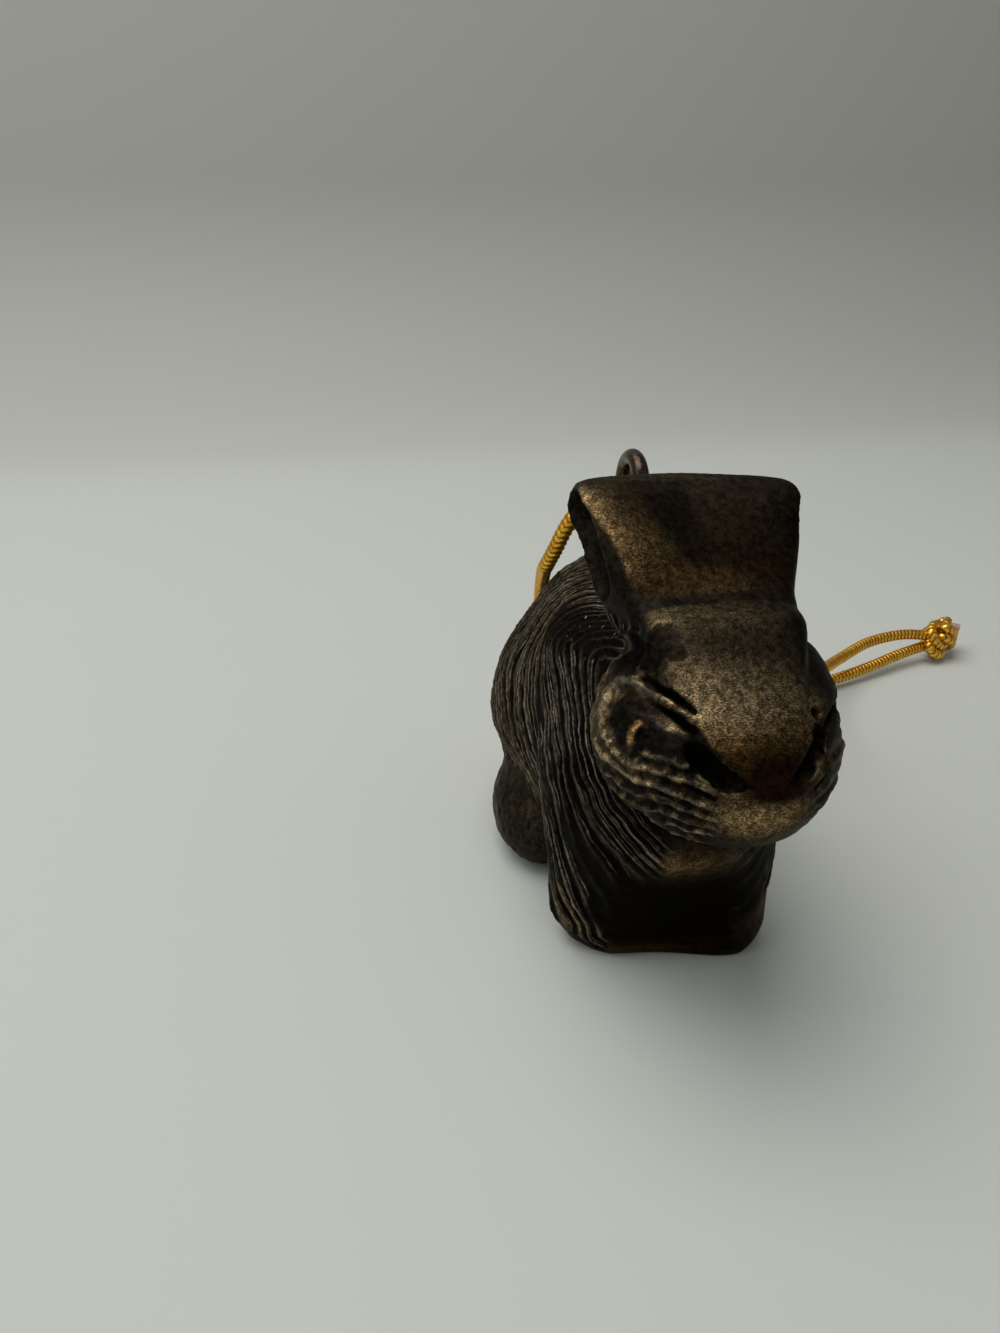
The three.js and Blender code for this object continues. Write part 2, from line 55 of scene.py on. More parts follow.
def makeCamera(c):
    data = bpy.data.cameras.new("photoCamera")
    data.lens, data.sensor_width = c["lens"], 36
    data.clip_start, data.clip_end = 0.005, 10
    camera = bpy.data.objects.new("photoCamera", data)
    camera.location = Vector(c["eye"]) * mm
    camera.rotation_euler = Vector(c["look"]).to_track_quat("-Z", "Y").to_euler()
    scene.collection.objects.link(camera)
    scene.camera = camera


makeCamera(cameraSet)


# small helpers, all in millimetres
def ramp(x, low, high):  # smooth step from 0 to 1
    t = np.clip((x - low) / (high - low), 0, 1)
    return t * t * (3 - 2 * t)


def bell(x, middle, reach):
    return np.exp(-(((x - middle) / reach) ** 2))


def ripple(p, size, seed, count=12):  # smooth noise, about -1 to 1
    rng = np.random.default_rng(seed)
    wave = rng.normal(size=(count, 3))
    length = norm(wave, axis=1, keepdims=True)
    wave *= (2 * math.pi / size) * rng.uniform(0.6, 1.5, (count, 1)) / length
    return np.sin(p @ wave.T + rng.uniform(0, 6.283, count)).sum(1) / math.sqrt(count)


def ovalGap(p, centre, half):  # distance outside a squashed ball, negative inside
    q = (p - np.array(centre)) / np.array(half)
    reach = norm(q, axis=1)
    return reach * (reach - 1) / np.maximum(norm(q / np.array(half), axis=1), 1e-9)


def lineGap(p, points):  # distance to a bent line, and the share of the way along it
    points = np.array(points, float)
    legs = norm(np.diff(points, axis=0), axis=1)
    start = np.r_[0, np.cumsum(legs)] / legs.sum()
    best, share = np.full(len(p), 1e9), np.zeros(len(p))
    for i, (a, b) in enumerate(zip(points[:-1], points[1:])):
        t = np.clip((p - a) @ (b - a) / legs[i] ** 2, 0, 1)
        d = norm(p - a - t[:, None] * (b - a), axis=1)
        near = d < best
        best[near] = d[near]
        share[near] = (start[i] + t * (start[i + 1] - start[i]))[near]
    return best, share


def spot(p, centre, radius):
    return np.exp(-(((p - np.array(centre)) ** 2).sum(1)) / radius**2)


def spots(p, rows):  # soft spots, each a centre, radius and level
    return sum(level * spot(p, centre, radius) for centre, radius, level in rows)


def ballGap(p, centre):
    return norm(p - np.array(centre), axis=1)


def linked(name, data):
    obj = bpy.data.objects.new(name, data)
    scene.collection.objects.link(obj)
    return obj


def plainMesh(obj, name):  # what the modifiers make, as a mesh of its own
    bpy.context.view_layer.update()
    made = obj.evaluated_get(bpy.context.evaluated_depsgraph_get())
    mesh = bpy.data.meshes.new_from_object(made)
    mesh.name = name
    return mesh


def readMesh(mesh):
    co = np.empty(len(mesh.vertices) * 3)
    mesh.vertices.foreach_get("co", co)
    edges = np.empty(len(mesh.edges) * 2, np.int64)
    mesh.edges.foreach_get("vertices", edges)
    return co.reshape(-1, 3), edges.reshape(-1, 2)


def normalsOf(mesh, co):
    mesh.vertices.foreach_set("co", co.ravel())
    mesh.update()
    normal = np.empty(len(co) * 3, np.float32)
    mesh.vertex_normals.foreach_get("vector", normal)
    return normal.reshape(-1, 3).astype(float)


def smoothed(co, edges, steps, mask=1):  # moves each point towards the mean of its neighbours, step by step
    a, b = edges.T
    n = len(co)
    count = np.maximum(np.bincount(edges.ravel(), minlength=n), 1)
    for step in steps:
        mean = [np.bincount(a, v[b], n) + np.bincount(b, v[a], n) for v in co.T]
        co = co + step * mask * (np.stack(mean, 1) / count[:, None] - co)
    return co


def settle(mesh, co):  # puts the points back in metres, shaded smooth
    mesh.vertices.foreach_set("co", (co * mm).ravel())
    mesh.polygons.foreach_set("use_smooth", np.ones(len(mesh.polygons), bool))
    mesh.update()


def store(mesh, **fields):
    for name, values in fields.items():
        attribute = mesh.attributes.get(name) or mesh.attributes.new(name, "FLOAT", "POINT")
        attribute.data.foreach_set("value", np.ascontiguousarray(values, np.float32))


# shader helpers
def newMaterial(name):
    material = bpy.data.materials.new(name)
    material.use_nodes = True
    return material, material.node_tree, material.node_tree.nodes["Principled BSDF"]


def feed(tree, node, values):  # links or sets a node's inputs
    for key, value in values.items():
        socket = node.inputs[key]
        if isinstance(value, bpy.types.NodeSocket):
            tree.links.new(value, socket)
        else:
            socket.default_value = (*value, 1) if socket.type == "RGBA" else value


def add(tree, kind, values=None, **settings):
    node = tree.nodes.new(kind)
    for key, value in settings.items():
        setattr(node, key, value)
    feed(tree, node, values or {})
    return node


def first(tree, kind, values=None, **settings):
    return add(tree, kind, values, **settings).outputs[0]


def addSockets(tree, way, kinds):
    for name, kind in kinds.items():
        tree.interface.new_socket(name, in_out=way, socket_type="NodeSocket" + kind)


def maths(tree, operation, a, b=0.0, c=0.0, clamp=False):
    return first(tree, "ShaderNodeMath", {0: a, 1: b, 2: c}, operation=operation, use_clamp=clamp)


def times(tree, a, b, clamp=False):
    return maths(tree, "MULTIPLY", a, b, clamp=clamp)


def plus(tree, a, share, b, clamp=False):  # a share of one value, and another
    return maths(tree, "MULTIPLY_ADD", a, share, b, clamp)


def mixed(tree, share, a, b, blend="MIX"):
    values = {0: share, 6: a, 7: b}  # the two sockets that take colours
    return add(tree, "ShaderNodeMix", values, data_type="RGBA", blend_type=blend).outputs[2]


def ownPlace(tree):
    return add(tree, "ShaderNodeTexCoord").outputs["Object"]


def painted(tree, name):  # a value that is stored on the mesh
    return add(tree, "ShaderNodeAttribute", attribute_name=name).outputs["Fac"]


def stretched(tree, value, low, high, toLow=0.0, toHigh=1.0):
    values = {"Value": value, "From Min": low, "From Max": high, "To Min": toLow, "To Max": toHigh}
    return first(tree, "ShaderNodeMapRange", values, interpolation_type="SMOOTHSTEP")


def grain(tree, scale, detail, rough=0.55, where=None):
    if where is None:
        where = ownPlace(tree)
    values = {"Vector": where, "Scale": scale, "Detail": detail, "Roughness": rough}
    return first(tree, "ShaderNodeTexNoise", values)


def bumped(tree, height, distance, strength):
    values = {"Height": height, "Distance": distance, "Strength": strength}
    return first(tree, "ShaderNodeBump", values)


# specks of bare metal through dark patina, shared by every metal piece
patinaSet = {
    "speckShape": (0.4, 1, 1), "speckSpan": (0.4, 0.68), "speckLevel": (0.3, 2.15),
    "blotchScale": 330, "blotchLevel": 1.6, "cloudScale": 95, "cloudSpan": (0.35, 0.7),
}


def makePatinaGroup(c):
    group = bpy.data.node_groups.new("patina", "ShaderNodeTree")
    kinds = {"Dark": "Color", "Warm": "Color", "Metal": "Color", "Bare": "Float", "Speck Scale": "Float"}
    addSockets(group, "INPUT", kinds)
    addSockets(group, "OUTPUT", {"Color": "Color", "Shine": "Float", "Height": "Float"})
    into = add(group, "NodeGroupInput").outputs
    where = first(group, "ShaderNodeMapping", {"Vector": ownPlace(group), "Scale": c["speckShape"]})
    specks = grain(group, into["Speck Scale"], 2.0, 0.65, where)
    blotches = grain(group, c["blotchScale"], 4)
    clouds = grain(group, c["cloudScale"], 3)
    fine = stretched(group, specks, *c["speckSpan"], *c["speckLevel"])
    level = plus(group, maths(group, "SUBTRACT", blotches, 0.5), c["blotchLevel"], fine)
    shine = times(group, into["Bare"], level, clamp=True)
    dark = mixed(group, stretched(group, clouds, *c["cloudSpan"]), into["Dark"], into["Warm"])
    height = plus(group, specks, 0.6, times(group, blotches, 0.4))
    colour = mixed(group, shine, dark, into["Metal"])
    add(group, "NodeGroupOutput", {"Color": colour, "Shine": shine, "Height": height})
    return group


patinaGroup = makePatinaGroup(patinaSet)


def patina(tree, c, bare):
    values = {key.title(): c[key] for key in ("dark", "warm", "metal")}
    values.update({"Bare": bare, "Speck Scale": c["speckScale"]})
    return add(tree, "ShaderNodeGroup", values, node_tree=patinaGroup).outputs


def plainMetal(tree, shader, c, bare):
    finish = patina(tree, c, bare)
    feed(tree, shader, {
        "Base Color": finish["Color"],
        "Metallic": stretched(tree, finish["Shine"], 0, 1, *c["metallic"]),
        "Roughness": stretched(tree, grain(tree, c["roughScale"], 2), 0.3, 0.7, *c["rough"]),
        "Normal": bumped(tree, finish["Height"], *c["bump"]),
    })


# rabbit casting
rabbit = {
    "skinStep": 0.26, "quickStep": 1.7, "triangles": 190000, "margin": 0.02,
    "easeSteps": [0.55, -0.57] * 40, "rimSteps": [0.6] * 10, "bulgeSteps": [0.6] * 40,
    # squashed balls: centre and half sizes
    "head": ((0, -20.65, 33), (12.2, 12, 9)), "temple": ((-4.5, -20, 36), (7, 7.5, 7.5)),
    "muzzle": ((0, -26.75, 31), (7.8, 6.4, 5.1)), "hindFoot": ((-10.2, 11.15, 5.8), (5.6, 9.6, 6.9)),
    "chamber": ((0, 5.15, 22.6), (9.7, 15.2, 15.2)), "socket": ((-10.2, -24.6, 37), (2.7, 2.7, 3)),
    # depths of the lines, roundness of their ridges, depth left on the far side, and the ear
    "bodyDepth": 0.5, "cheekDepth": 0.56, "ridgeRound": 0.16, "farSide": 0.5, "earDroop": 0.06, "earLines": 9,
    # half width of the ear's front edge at each height, slope of the cut behind it and the way it goes
    "earEdge": ([45.5, 47.1, 50, 52.1, 53.2, 54.5, 55.3], [7.8, 7.9, 8.6, 9.4, 10.2, 11.2, 11.8]),
    "lipDeep": 2.3, "earBevel": 1.7, "farBevel": 0.35, "earBack": (0, 0.72, -0.7),
    "socketTail": [(-9, -26.6, 37), (-7.6, -28.2, 36.9), (-6.3, -29, 36.8)],
    # eye: centre, two directions of the plane that it is drawn in, and its bright rim and pupil there
    "eyeCentre": (-10.2, -25.7, 36.8), "eyeAcross": (0.941, -0.337, 0), "eyeUp": (0.162, 0.452, 0.877),
    "crescent": [(-0.5, 19.88), (-0.94, 19.44), (-1.12, 18.85), (-1.08, 18.22)],
    "pupil": (-0.25, 18.8),
    # small corrections of the outline: centre, reach along x, y and z, and push; the first ones on both sides
    "pairedPushes": 3,
    "pushes": [
        ((-14.6, 10.5, 12.8), (4, 9, 3.2), (1.4, 0, 0)), ((-12.8, 16, 27.5), (4, 7, 5), (-0.35, 0, 0.1)),
        ((-15, 8, 4), (4, 6, 2.5), (-0.35, 0, 0)), ((9.6, -13.5, 9.5), (4, 6, 4.5), (1.1, -0.2, 0)),
        ((7, -11.5, 0.5), (7, 5, 5.5), (1.2, -3.2, 0)),
    ],
    # cuts in the head and ear: half widths at the start, middle and end, depth, then the line
    "browCuts": [
        ((0.12, 0.42, 0.22), 0.8, [(-8.6, -23, 41.2), (-7.5, -24.9, 40.7), (-6.3, -26.4, 40.2),
            (-5.7, -27.1, 39.8), (-5.3, -27.6, 39.4)]),
        ((0.1, 0.32, 0.18), 0.5, [(-8.5, -25.3, 39.5), (-7.1, -27, 39.1), (-6.2, -28.1, 38.5),
            (-5.6, -28.7, 38.2)]),
    ],
    "otherCuts": [
        ((0.1, 0.26, 0.2), 0.25, [(-7.1, -30.4, 34.1), (-5.7, -31.6, 33.5), (-4.8, -32.2, 33.1)]),
        ((0.1, 0.22, 0.1), 0.3, [(-11, -7.1, 52.8), (-10.3, -7.8, 51.7)]),
        ((0.1, 0.22, 0.1), 0.3, [(-11.5, -6.9, 52.2), (-10.9, -7.4, 51.3)]),
    ],
    "pit": (
        (0.75, 1, 0.3), 0.9,
        [(-5.6, -29.2, 36.9), (-5.2, -29.2, 36.1), (-4.2, -29.9, 35.3), (-3.2, -30.9, 34.8), (-2.3, -32.6, 34.4)],
    ),
    "pitRim": (1.1, 1.5, 0.5),
    "farSlot": ((0.3, 0.5, 0.35), 0.8, [(8.9, -26.4, 37.9), (7.2, -28.5, 37.3), (6.4, -29, 36.7)]),
    # pale ridges between them
    "ridges": [
        [(-8.5, -24.8, 40.1), (-6.9, -26.4, 39.9), (-5.2, -27.9, 39.2)],
        [(-8.4, -26.2, 38.7), (-7, -27.8, 38.3), (-5.8, -28.9, 37.9)],
    ],
    # middle line of the smooth blaze from the nose to the ear tip: y, z and half width
    "blaze": [
        (-31.25, 32.2, 2.2), (-32.85, 34.6, 2.7), (-31.55, 36.8, 4.3), (-28.75, 39.6, 5.8), (-25.55, 43.2, 7.4),
        (-22.45, 45.8, 8.1), (-19.15, 46.5, 8.3), (-17.15, 48.5, 9.1), (-14.65, 51.7, 10.3), (-11.35, 55.1, 11.8),
    ],
    # shaded lines and places, each place with its radius
    "recess": [(-12.2, -14.4, 18.4), (-10.6, -15.6, 15.8), (-9, -15.8, 12.8), (-8.2, -15.6, 10),
        (-8.6, -14.8, 7.5)],
    "whorl": [(-9.8, 3, 35.8), (-8.4, -2.2, 37), (-7.2, -7.5, 38)],
    "pads": [((-6.7, -22.8, 44.5), 1.3), ((-6.2, -24, 43.8), 0.85), ((-8, -22, 42.2), 0.8),
        ((-8.8, -18.9, 41.8), 1.3)],
    "padShade": ((-9.4, -18.8, 42), 2.2), "nose": ((0.7, -32.9, 34.1), 2.2),
    "underEye": ((-10.3, -26.2, 34.5), 1.1), "plainForefoot": ((9.2, -13, 3), 5.2),
    "pinHole": (6.1, -28.1, 38.5), "farEye": (10.6, -25.9, 36.4),
    # worn places: centre, radius and level
    "blazeSpots": [
        ((-5.2, -26.6, 41), 2.4, 0.18), ((-3.4, -27.4, 40.9), 3, 0.22), ((-0.6, -28.2, 40.2), 3.4, 0.19),
        ((3, -28.4, 39.8), 3, 0.2), ((6.2, -27.8, 38.6), 1.6, 0.2), ((-3.8, -29.6, 38.4), 2.2, 0.15),
        ((-1, -30.8, 37.6), 2.6, 0.07), ((2.6, -30.6, 37.4), 2.4, 0.06), ((4.8, -29.6, 37.6), 1.6, 0.14),
        ((-6.7, -20.8, 45.6), 1.2, 0.2), ((-4.6, -20.6, 46.2), 2, 0.16), ((-0.5, -20.6, 46.3), 3, 0.12),
        ((3.5, -20.6, 46.3), 3, 0.08), ((-10.6, -10.4, 54.5), 1.5, 0.38), ((-9.6, -12, 53), 1.4, 0.26),
        ((-8.8, -13.4, 51.5), 1.6, 0.22), ((-7.8, -15.2, 49.6), 1.8, 0.16), ((-6.2, -13.6, 51.2), 2.6, 0.11),
        ((-4.6, -15.2, 49.6), 2.8, 0.1), ((-7, -11.4, 53.4), 2.2, 0.1), ((-1.5, -16.4, 48.4), 3, 0.07),
        ((10, -13.2, 51.4), 1.6, 0.16),
    ],
    "muzzleSpots": [((-2, -33.2, 31.6), 2.2, 0.42), ((1.2, -33.3, 31.4), 2.6, 0.26),
        ((-5.2, -32, 32), 1.6, 0.2)],
    "sideSpots": [((-10.6, -12.4, 5), 2.8, 0.4), ((-12.3, -11.5, 8.5), 2.4, 0.32),
        ((-5.4, -20.4, 18.4), 1.6, 0.4)],
    "browEdge": [(-6.6, -24.9, 42.4), (-5.9, -26.7, 41), (-5, -28.2, 39.4)],
    # how strongly each place counts in what is painted on the skin
    # dark patina in the cuts, holes, eye and nose, plus painted shade under the elbow, along the back, on the
    # crease, beside the forehead pads, round the pit, on the upper panel, on the ear front and on the front of the
    # body
    "sootLevels": {
        "socket": 0.36, "socketTail": -0.2, "cuts": 1, "farSlot": 1, "hollow": 0.65, "pinHole": 1, "upperPanel": 1,
        "recess": 0.85, "whorl": 0.75, "pads": 0.4, "crease": 0.35, "pupil": 1, "pitEdge": 0.9, "padShade": 0.5,
        "nose": 0.45, "farEarFront": 0.36, "cutEdge": 0.65, "foreBody": 0.13,
    },
    # bright wear, plus painted highlight on the lit side of the rump, the hind feet and the ear top
    "wearLevels": {
        "ridge": 0.55, "blazeSpots": 0.92, "muzzleSpots": 1, "sideSpots": 1, "earLine": 0.14, "browEdge": 0.3,
        "chestBand": 0.3, "panelFoot": 0.36, "ringMottle": 1, "cheekBlotch": 0.27, "pale": 0.4, "crescent": 0.9,
        "nearBevel": 0.3, "rump": 0.09, "litFoot": 0.025, "earTop": 0.06,
    },
    "redLevels": {"nose": 1, "redRoot": 0.5, "redTip": 0.5, "redPanel": 0.6},
    "amberLevels": {
        "amberFace": 1, "amberEar": 0.6, "chest": 0.5, "muzzle": 0.22, "panel": 1, "crescent": 0.7, "bevel": 0.4,
    },
    "sheenLevels": {"foot": 1, "panel": 1, "whorl": 0.6, "forehead": 1},
    # colours; the pale hair colour is painted highlight, the near black one dark patina with painted shade
    "dark": (0.0095, 0.008, 0.0058), "warm": (0.021, 0.0148, 0.0088), "metal": (0.46, 0.325, 0.165),
    "hairTint": (0.19, 0.165, 0.122), "sootTint": (0.003, 0.0026, 0.0021), "amberTint": (0.92, 0.67, 0.36),
    "redTint": (0.024, 0.0075, 0.0025), "moteTint": (0.2, 0.19, 0.175), "edgeTint": (0.66, 0.65, 0.62),
    "speckScale": 9800, "mottleScale": 1500, "moteScale": 2300, "roughScale": 700,
}

# chosen fur lines of the right side, each with its place in the row of lines
bodyGuides = [
    (-1, [(-8.4, -9.1, 36.2), (-9.3, -10.6, 34), (-9.8, -14.5, 29), (-8.6, -18, 25.3), (-6.4, -20.1, 22.8),
        (-3.5, -21.4, 20.8)]),
    (0.6, [(-8.5, -4.7, 36.3), (-9.6, -8.7, 34), (-10.4, -12.6, 30), (-10, -16.2, 26.5),
        (-7.3, -19.6, 22.5), (-5.4, -20.7, 20.3), (-3.1, -21, 17.6)]),
    (2.4, [(-9.7, -1.6, 35.1), (-10.3, -6.3, 32.9), (-10.9, -10.9, 30.7), (-10.9, -14.5, 27.8),
        (-10.1, -16.8, 25.4), (-8.7, -18.7, 22.4), (-6.7, -19.9, 19.9), (-4.5, -20.3, 17)]),
    (4.4, [(-10.8, 1.1, 34), (-11.1, -2.8, 32), (-11.8, -7.9, 30.2), (-12.1, -12.9, 27.6),
        (-11.4, -15.8, 24.4), (-10.3, -17.2, 20.7), (-8.4, -18.5, 18.2), (-6.2, -19, 15.6)]),
    (6.4, [(-10.9, 3.1, 34.1), (-11.8, 0.2, 31.3), (-12.5, -5.3, 28.9), (-13.1, -11.5, 27),
        (-13.2, -13.5, 22.2), (-12.3, -13.9, 16.5), (-11.1, -14.3, 12.1), (-9.3, -14.8, 6.7), (-8.5, -14.5, 3.4)]),
    (8.4, [(-10.9, 4.5, 34.2), (-12.3, 2.5, 30.6), (-13, 0, 27.2), (-14, -6.6, 24.9), (-14.2, -10.7, 22.2),
        (-13.5, -11.7, 16.8), (-12.3, -13.1, 11.8), (-9.9, -14.1, 5.1)]),
    (10.4, [(-11, 5.9, 34), (-12.7, 6.2, 29.6), (-13.6, 4.2, 25.2), (-14, -2.5, 19.5), (-13.9, -7.5, 14.5),
        (-13.5, -8.9, 8.8), (-11.6, -12.7, 4.2)]),
    (13, [(-11.5, 9.9, 32.4), (-13.4, 11.5, 27.3), (-14.4, 8.5, 23.1), (-14.2, 5.6, 18.1), (-13.3, 3, 12.9),
        (-12.5, -3, 6)]),
    (15.4, [(-11.8, 15.7, 29.6), (-13.8, 15.8, 25.4), (-15.1, 12.3, 21.3), (-14.7, 8.1, 17.5), (-13.6, 5.2, 13)]),
    (19, [(-10.5, 19, 31.5), (-13.6, 20.5, 26), (-15.2, 16.5, 19.5), (-14.6, 11.5, 14), (-13, 6.5, 10.5)]),
    (23.5, [(-8, 23.5, 31), (-11.5, 25, 25), (-13.8, 22.5, 18), (-13.6, 18, 12.5)]),
    (27, [(-5.5, 27, 29), (-8.8, 29, 23), (-10.8, 27.5, 15.5), (-10.8, 23, 9.5), (0, 25, 34.2)]),
    (30, [(-3, 30, 26), (-5.5, 31.5, 19.5), (-6.8, 30.3, 12), (-6.2, 26, 6), (0, 29, 28.6)]),
    (12.5, [(0, -6, 41.4)]), (14, [(0, -3, 41.7)]), (16.5, [(0, 3, 41.8)]), (18.5, [(0, 8, 41.5)]),
    (21, [(0, 14, 40.3)]), (24, [(0, 20, 37.6)]), (32, [(0, 32, 20)]), (33, [(0, 32.5, 14)]),
]
cheekGuides = [
    (-2.5, [(-10.2, -26.3, 36.9)]),
    (-1, [(-8.7, -27.2, 37.3), (-7.5, -28.6, 37.1), (-6, -29.4, 36.3)]),
    (-0.5, [(-8.9, -26, 38.5), (-7.9, -27.3, 38.2), (-6.3, -28.7, 37.8), (-5.8, -29.3, 37.6),
        (-8.1, -29, 35.5), (-7, -30.1, 35.2)]),
    (0, [(-8.9, -25.2, 39.3), (-7.5, -26.6, 39.2), (-6.2, -28.1, 38.5), (-5.6, -28.8, 38.2)]),
    (0.5, [(-12.1, -21.1, 36.1), (-11.8, -19.9, 36.9), (-11.3, -20.1, 38.4), (-10.3, -21.5, 39.9),
        (-9.3, -23.3, 40.4), (-8.3, -25.1, 40), (-7, -26.7, 39.5), (-5.5, -28, 39)]),
    (0.5, [(-12.2, -22.5, 34.7), (-11.9, -23.8, 34), (-11.1, -25.6, 33.9), (-9.9, -27.7, 34.3),
        (-8.2, -29.4, 34.6), (-7, -30.5, 34.4), (-5.7, -31.4, 34.1), (-4.7, -31.9, 33.8)]),
    (1, [(-8.7, -22.7, 41.3), (-7.5, -24.3, 41.3), (-6.2, -26.2, 40.4), (-5.3, -27.6, 39.4), (-11.3, -16.5, 38.5),
        (-12, -17.5, 34.5)]),
    (1, [(-12.2, -23.4, 33.3), (-11.5, -25.5, 33), (-10.4, -27.4, 33.2), (-8.8, -29.1, 33.6),
        (-7.5, -30.3, 33.6), (-6, -31.4, 33.4), (-4.4, -32.4, 32.8)]),
    (1.5, [(-12.1, -23.8, 32.4), (-11.3, -25.8, 32.1), (-9.9, -28, 32.6), (-8.6, -29.5, 32.8),
        (-7.3, -30.7, 32.6), (-5.8, -31.7, 32.2), (-4.3, -32.5, 31.8), (-9.2, -17.7, 41)]),
    (2.5, [(-11.6, -24.4, 30.7), (-10.5, -26.4, 30.5), (-9.2, -28.6, 31.2), (-7.4, -30.6, 31.4),
        (-6, -31.7, 31.3), (-4.3, -32.5, 30.9)]),
    (3.5, [(-10.5, -25.5, 29.4), (-9.5, -27.3, 29.4), (-7.8, -30, 30.2), (-6.1, -31.4, 30.3),
        (-4.2, -32.5, 30.2), (-11.3, -20, 28.5)]),
    (4.5, [(-7.9, -27.7, 27.8), (-6.1, -30.9, 28.9), (-3.9, -32.4, 29.4)]),
]


def inBatches(p, work, size=20000):  # spares memory on a long list of points
    return np.concatenate([work(p[s:s + size]) for s in range(0, len(p), size)])


def lineField(p, guides, ease=1.2):  # smooth field that takes about each guide's number along it
    centre = np.array([q for _, row in guides for q in row], float)
    label = np.array([k for k, row in guides for _ in row], float)
    n = len(centre)
    frameRows = np.hstack([np.ones((n, 1)), centre])
    gap = norm(centre[:, None] - centre[None], axis=2) - np.eye(n) * ease
    system = np.block([[gap, frameRows], [frameRows.T, np.zeros((4, 4))]])
    weight = np.linalg.solve(system, np.r_[label, np.zeros(4)])

    def value(q):
        near = norm(q[:, None] - centre[None], axis=2)
        return near @ weight[:n] + weight[n] + q @ weight[n + 1:]

    return inBatches(p, value)


def evenSkin(node, step):  # one even skin over a copy of a CAD node, in millimetres
    mesh = node.data.copy()
    mesh.transform(Matrix.Scale(1 / mm, 4))
    merged = bmesh.new()
    merged.from_mesh(mesh)
    bmesh.ops.remove_doubles(merged, verts=merged.verts, dist=0.002)
    merged.to_mesh(mesh)
    merged.free()
    base = linked("evenSkin", mesh)
    even = base.modifiers.new("even", "REMESH")
    even.mode, even.voxel_size, even.adaptivity = "VOXEL", step, 0
    skin = plainMesh(base, "rabbitSkin")
    bpy.data.objects.remove(base)
    return skin


def blazePlace(p, c):  # from the side: gap to the blaze's middle line, and its half width and height there
    line = np.array(c["blaze"])
    t = np.linspace(0, len(line) - 1, 220)
    dense = np.stack([np.interp(t, range(len(line)), line[:, k]) for k in range(3)], 1)

    def nearest(q):
        return np.hypot(q[:, 1:2] - dense[None, :, 0], q[:, 2:3] - dense[None, :, 1]).argmin(1)

    lineY, lineZ, width = dense[inBatches(p, nearest)].T
    return np.hypot(p[:, 1] - lineY, p[:, 2] - lineZ), width, lineZ


def groove(p, wide, points):  # a tapered cut along a bent line, from 0 to 1
    gap, along = lineGap(p, points)
    return ramp(-gap / np.interp(along, (0, 0.5, 1), wide), -1.3, -0.3)


def layered(on, levels):  # the named places, each at its level
    return sum(level * getattr(on, name) for name, level in levels.items())


def clearOf(on, *names):  # 1 away from the named places
    return np.prod([1 - getattr(on, name) for name in names], axis=0)


def thinned(obj, limit):  # fewer triangles where the skin is flat
    triangles = sum(len(face.vertices) - 2 for face in obj.data.polygons)
    if triangles > limit:
        fewer = obj.modifiers.new("fewer", "DECIMATE")
        fewer.ratio = limit / triangles
        mesh = plainMesh(obj, obj.data.name + "Thin")
        obj.modifiers.remove(fewer)
        obj.data = mesh
    return obj


def cutEar(c, co, edges, normal):  # the ear's outer side is cut back from a bent front edge, more on the near side
    gap, _, height = blazePlace(co, c)
    edge = np.interp(height, *c["earEdge"])
    back = c["earBevel"] * (np.abs(co[:, 0]) - edge) - gap
    back = 0.5 * (back + np.sqrt(back**2 + 0.03)) * (back > -0.6)  # starts softly
    back = back * ramp(co[:, 2], 45.5, 48) * ramp(co[:, 1], -19.5, -17.5)
    back *= np.where(co[:, 0] < 0, 1, c["farBevel"])
    co = co + back[:, None] * np.array(c["earBack"])
    behind = ramp(gap, 0.9, 2.2) * ramp(co[:, 2], 49.5, 54) * ramp(co[:, 1], -19, -16)
    co[:, 1] += c["lipDeep"] * behind * np.clip(1 - ((co[:, 0] + 1.5) / 12.5) ** 2, 0, 1)
    rim = ramp(co[:, 2], 44.5, 46.5) * ramp(co[:, 1], -18.5, -17) * ramp(np.abs(normal[:, 0]), 0.2, 0.5)
    return smoothed(co, edges, c["rimSteps"], rim[:, None]), back, edge


def pushOutline(c, co, mirror):  # keeps clear of the chamber
    for k, (centre, reach, push) in enumerate(c["pushes"]):
        turn = mirror if k < c["pairedPushes"] else 1
        share = np.exp(-(((co * turn - np.array(centre)) / np.array(reach)) ** 2).sum(1))
        share *= 1 - ramp(-ovalGap(co, *c["chamber"]), -1.6, -0.6)
        co = co + share[:, None] * np.array(push) * turn
    return co


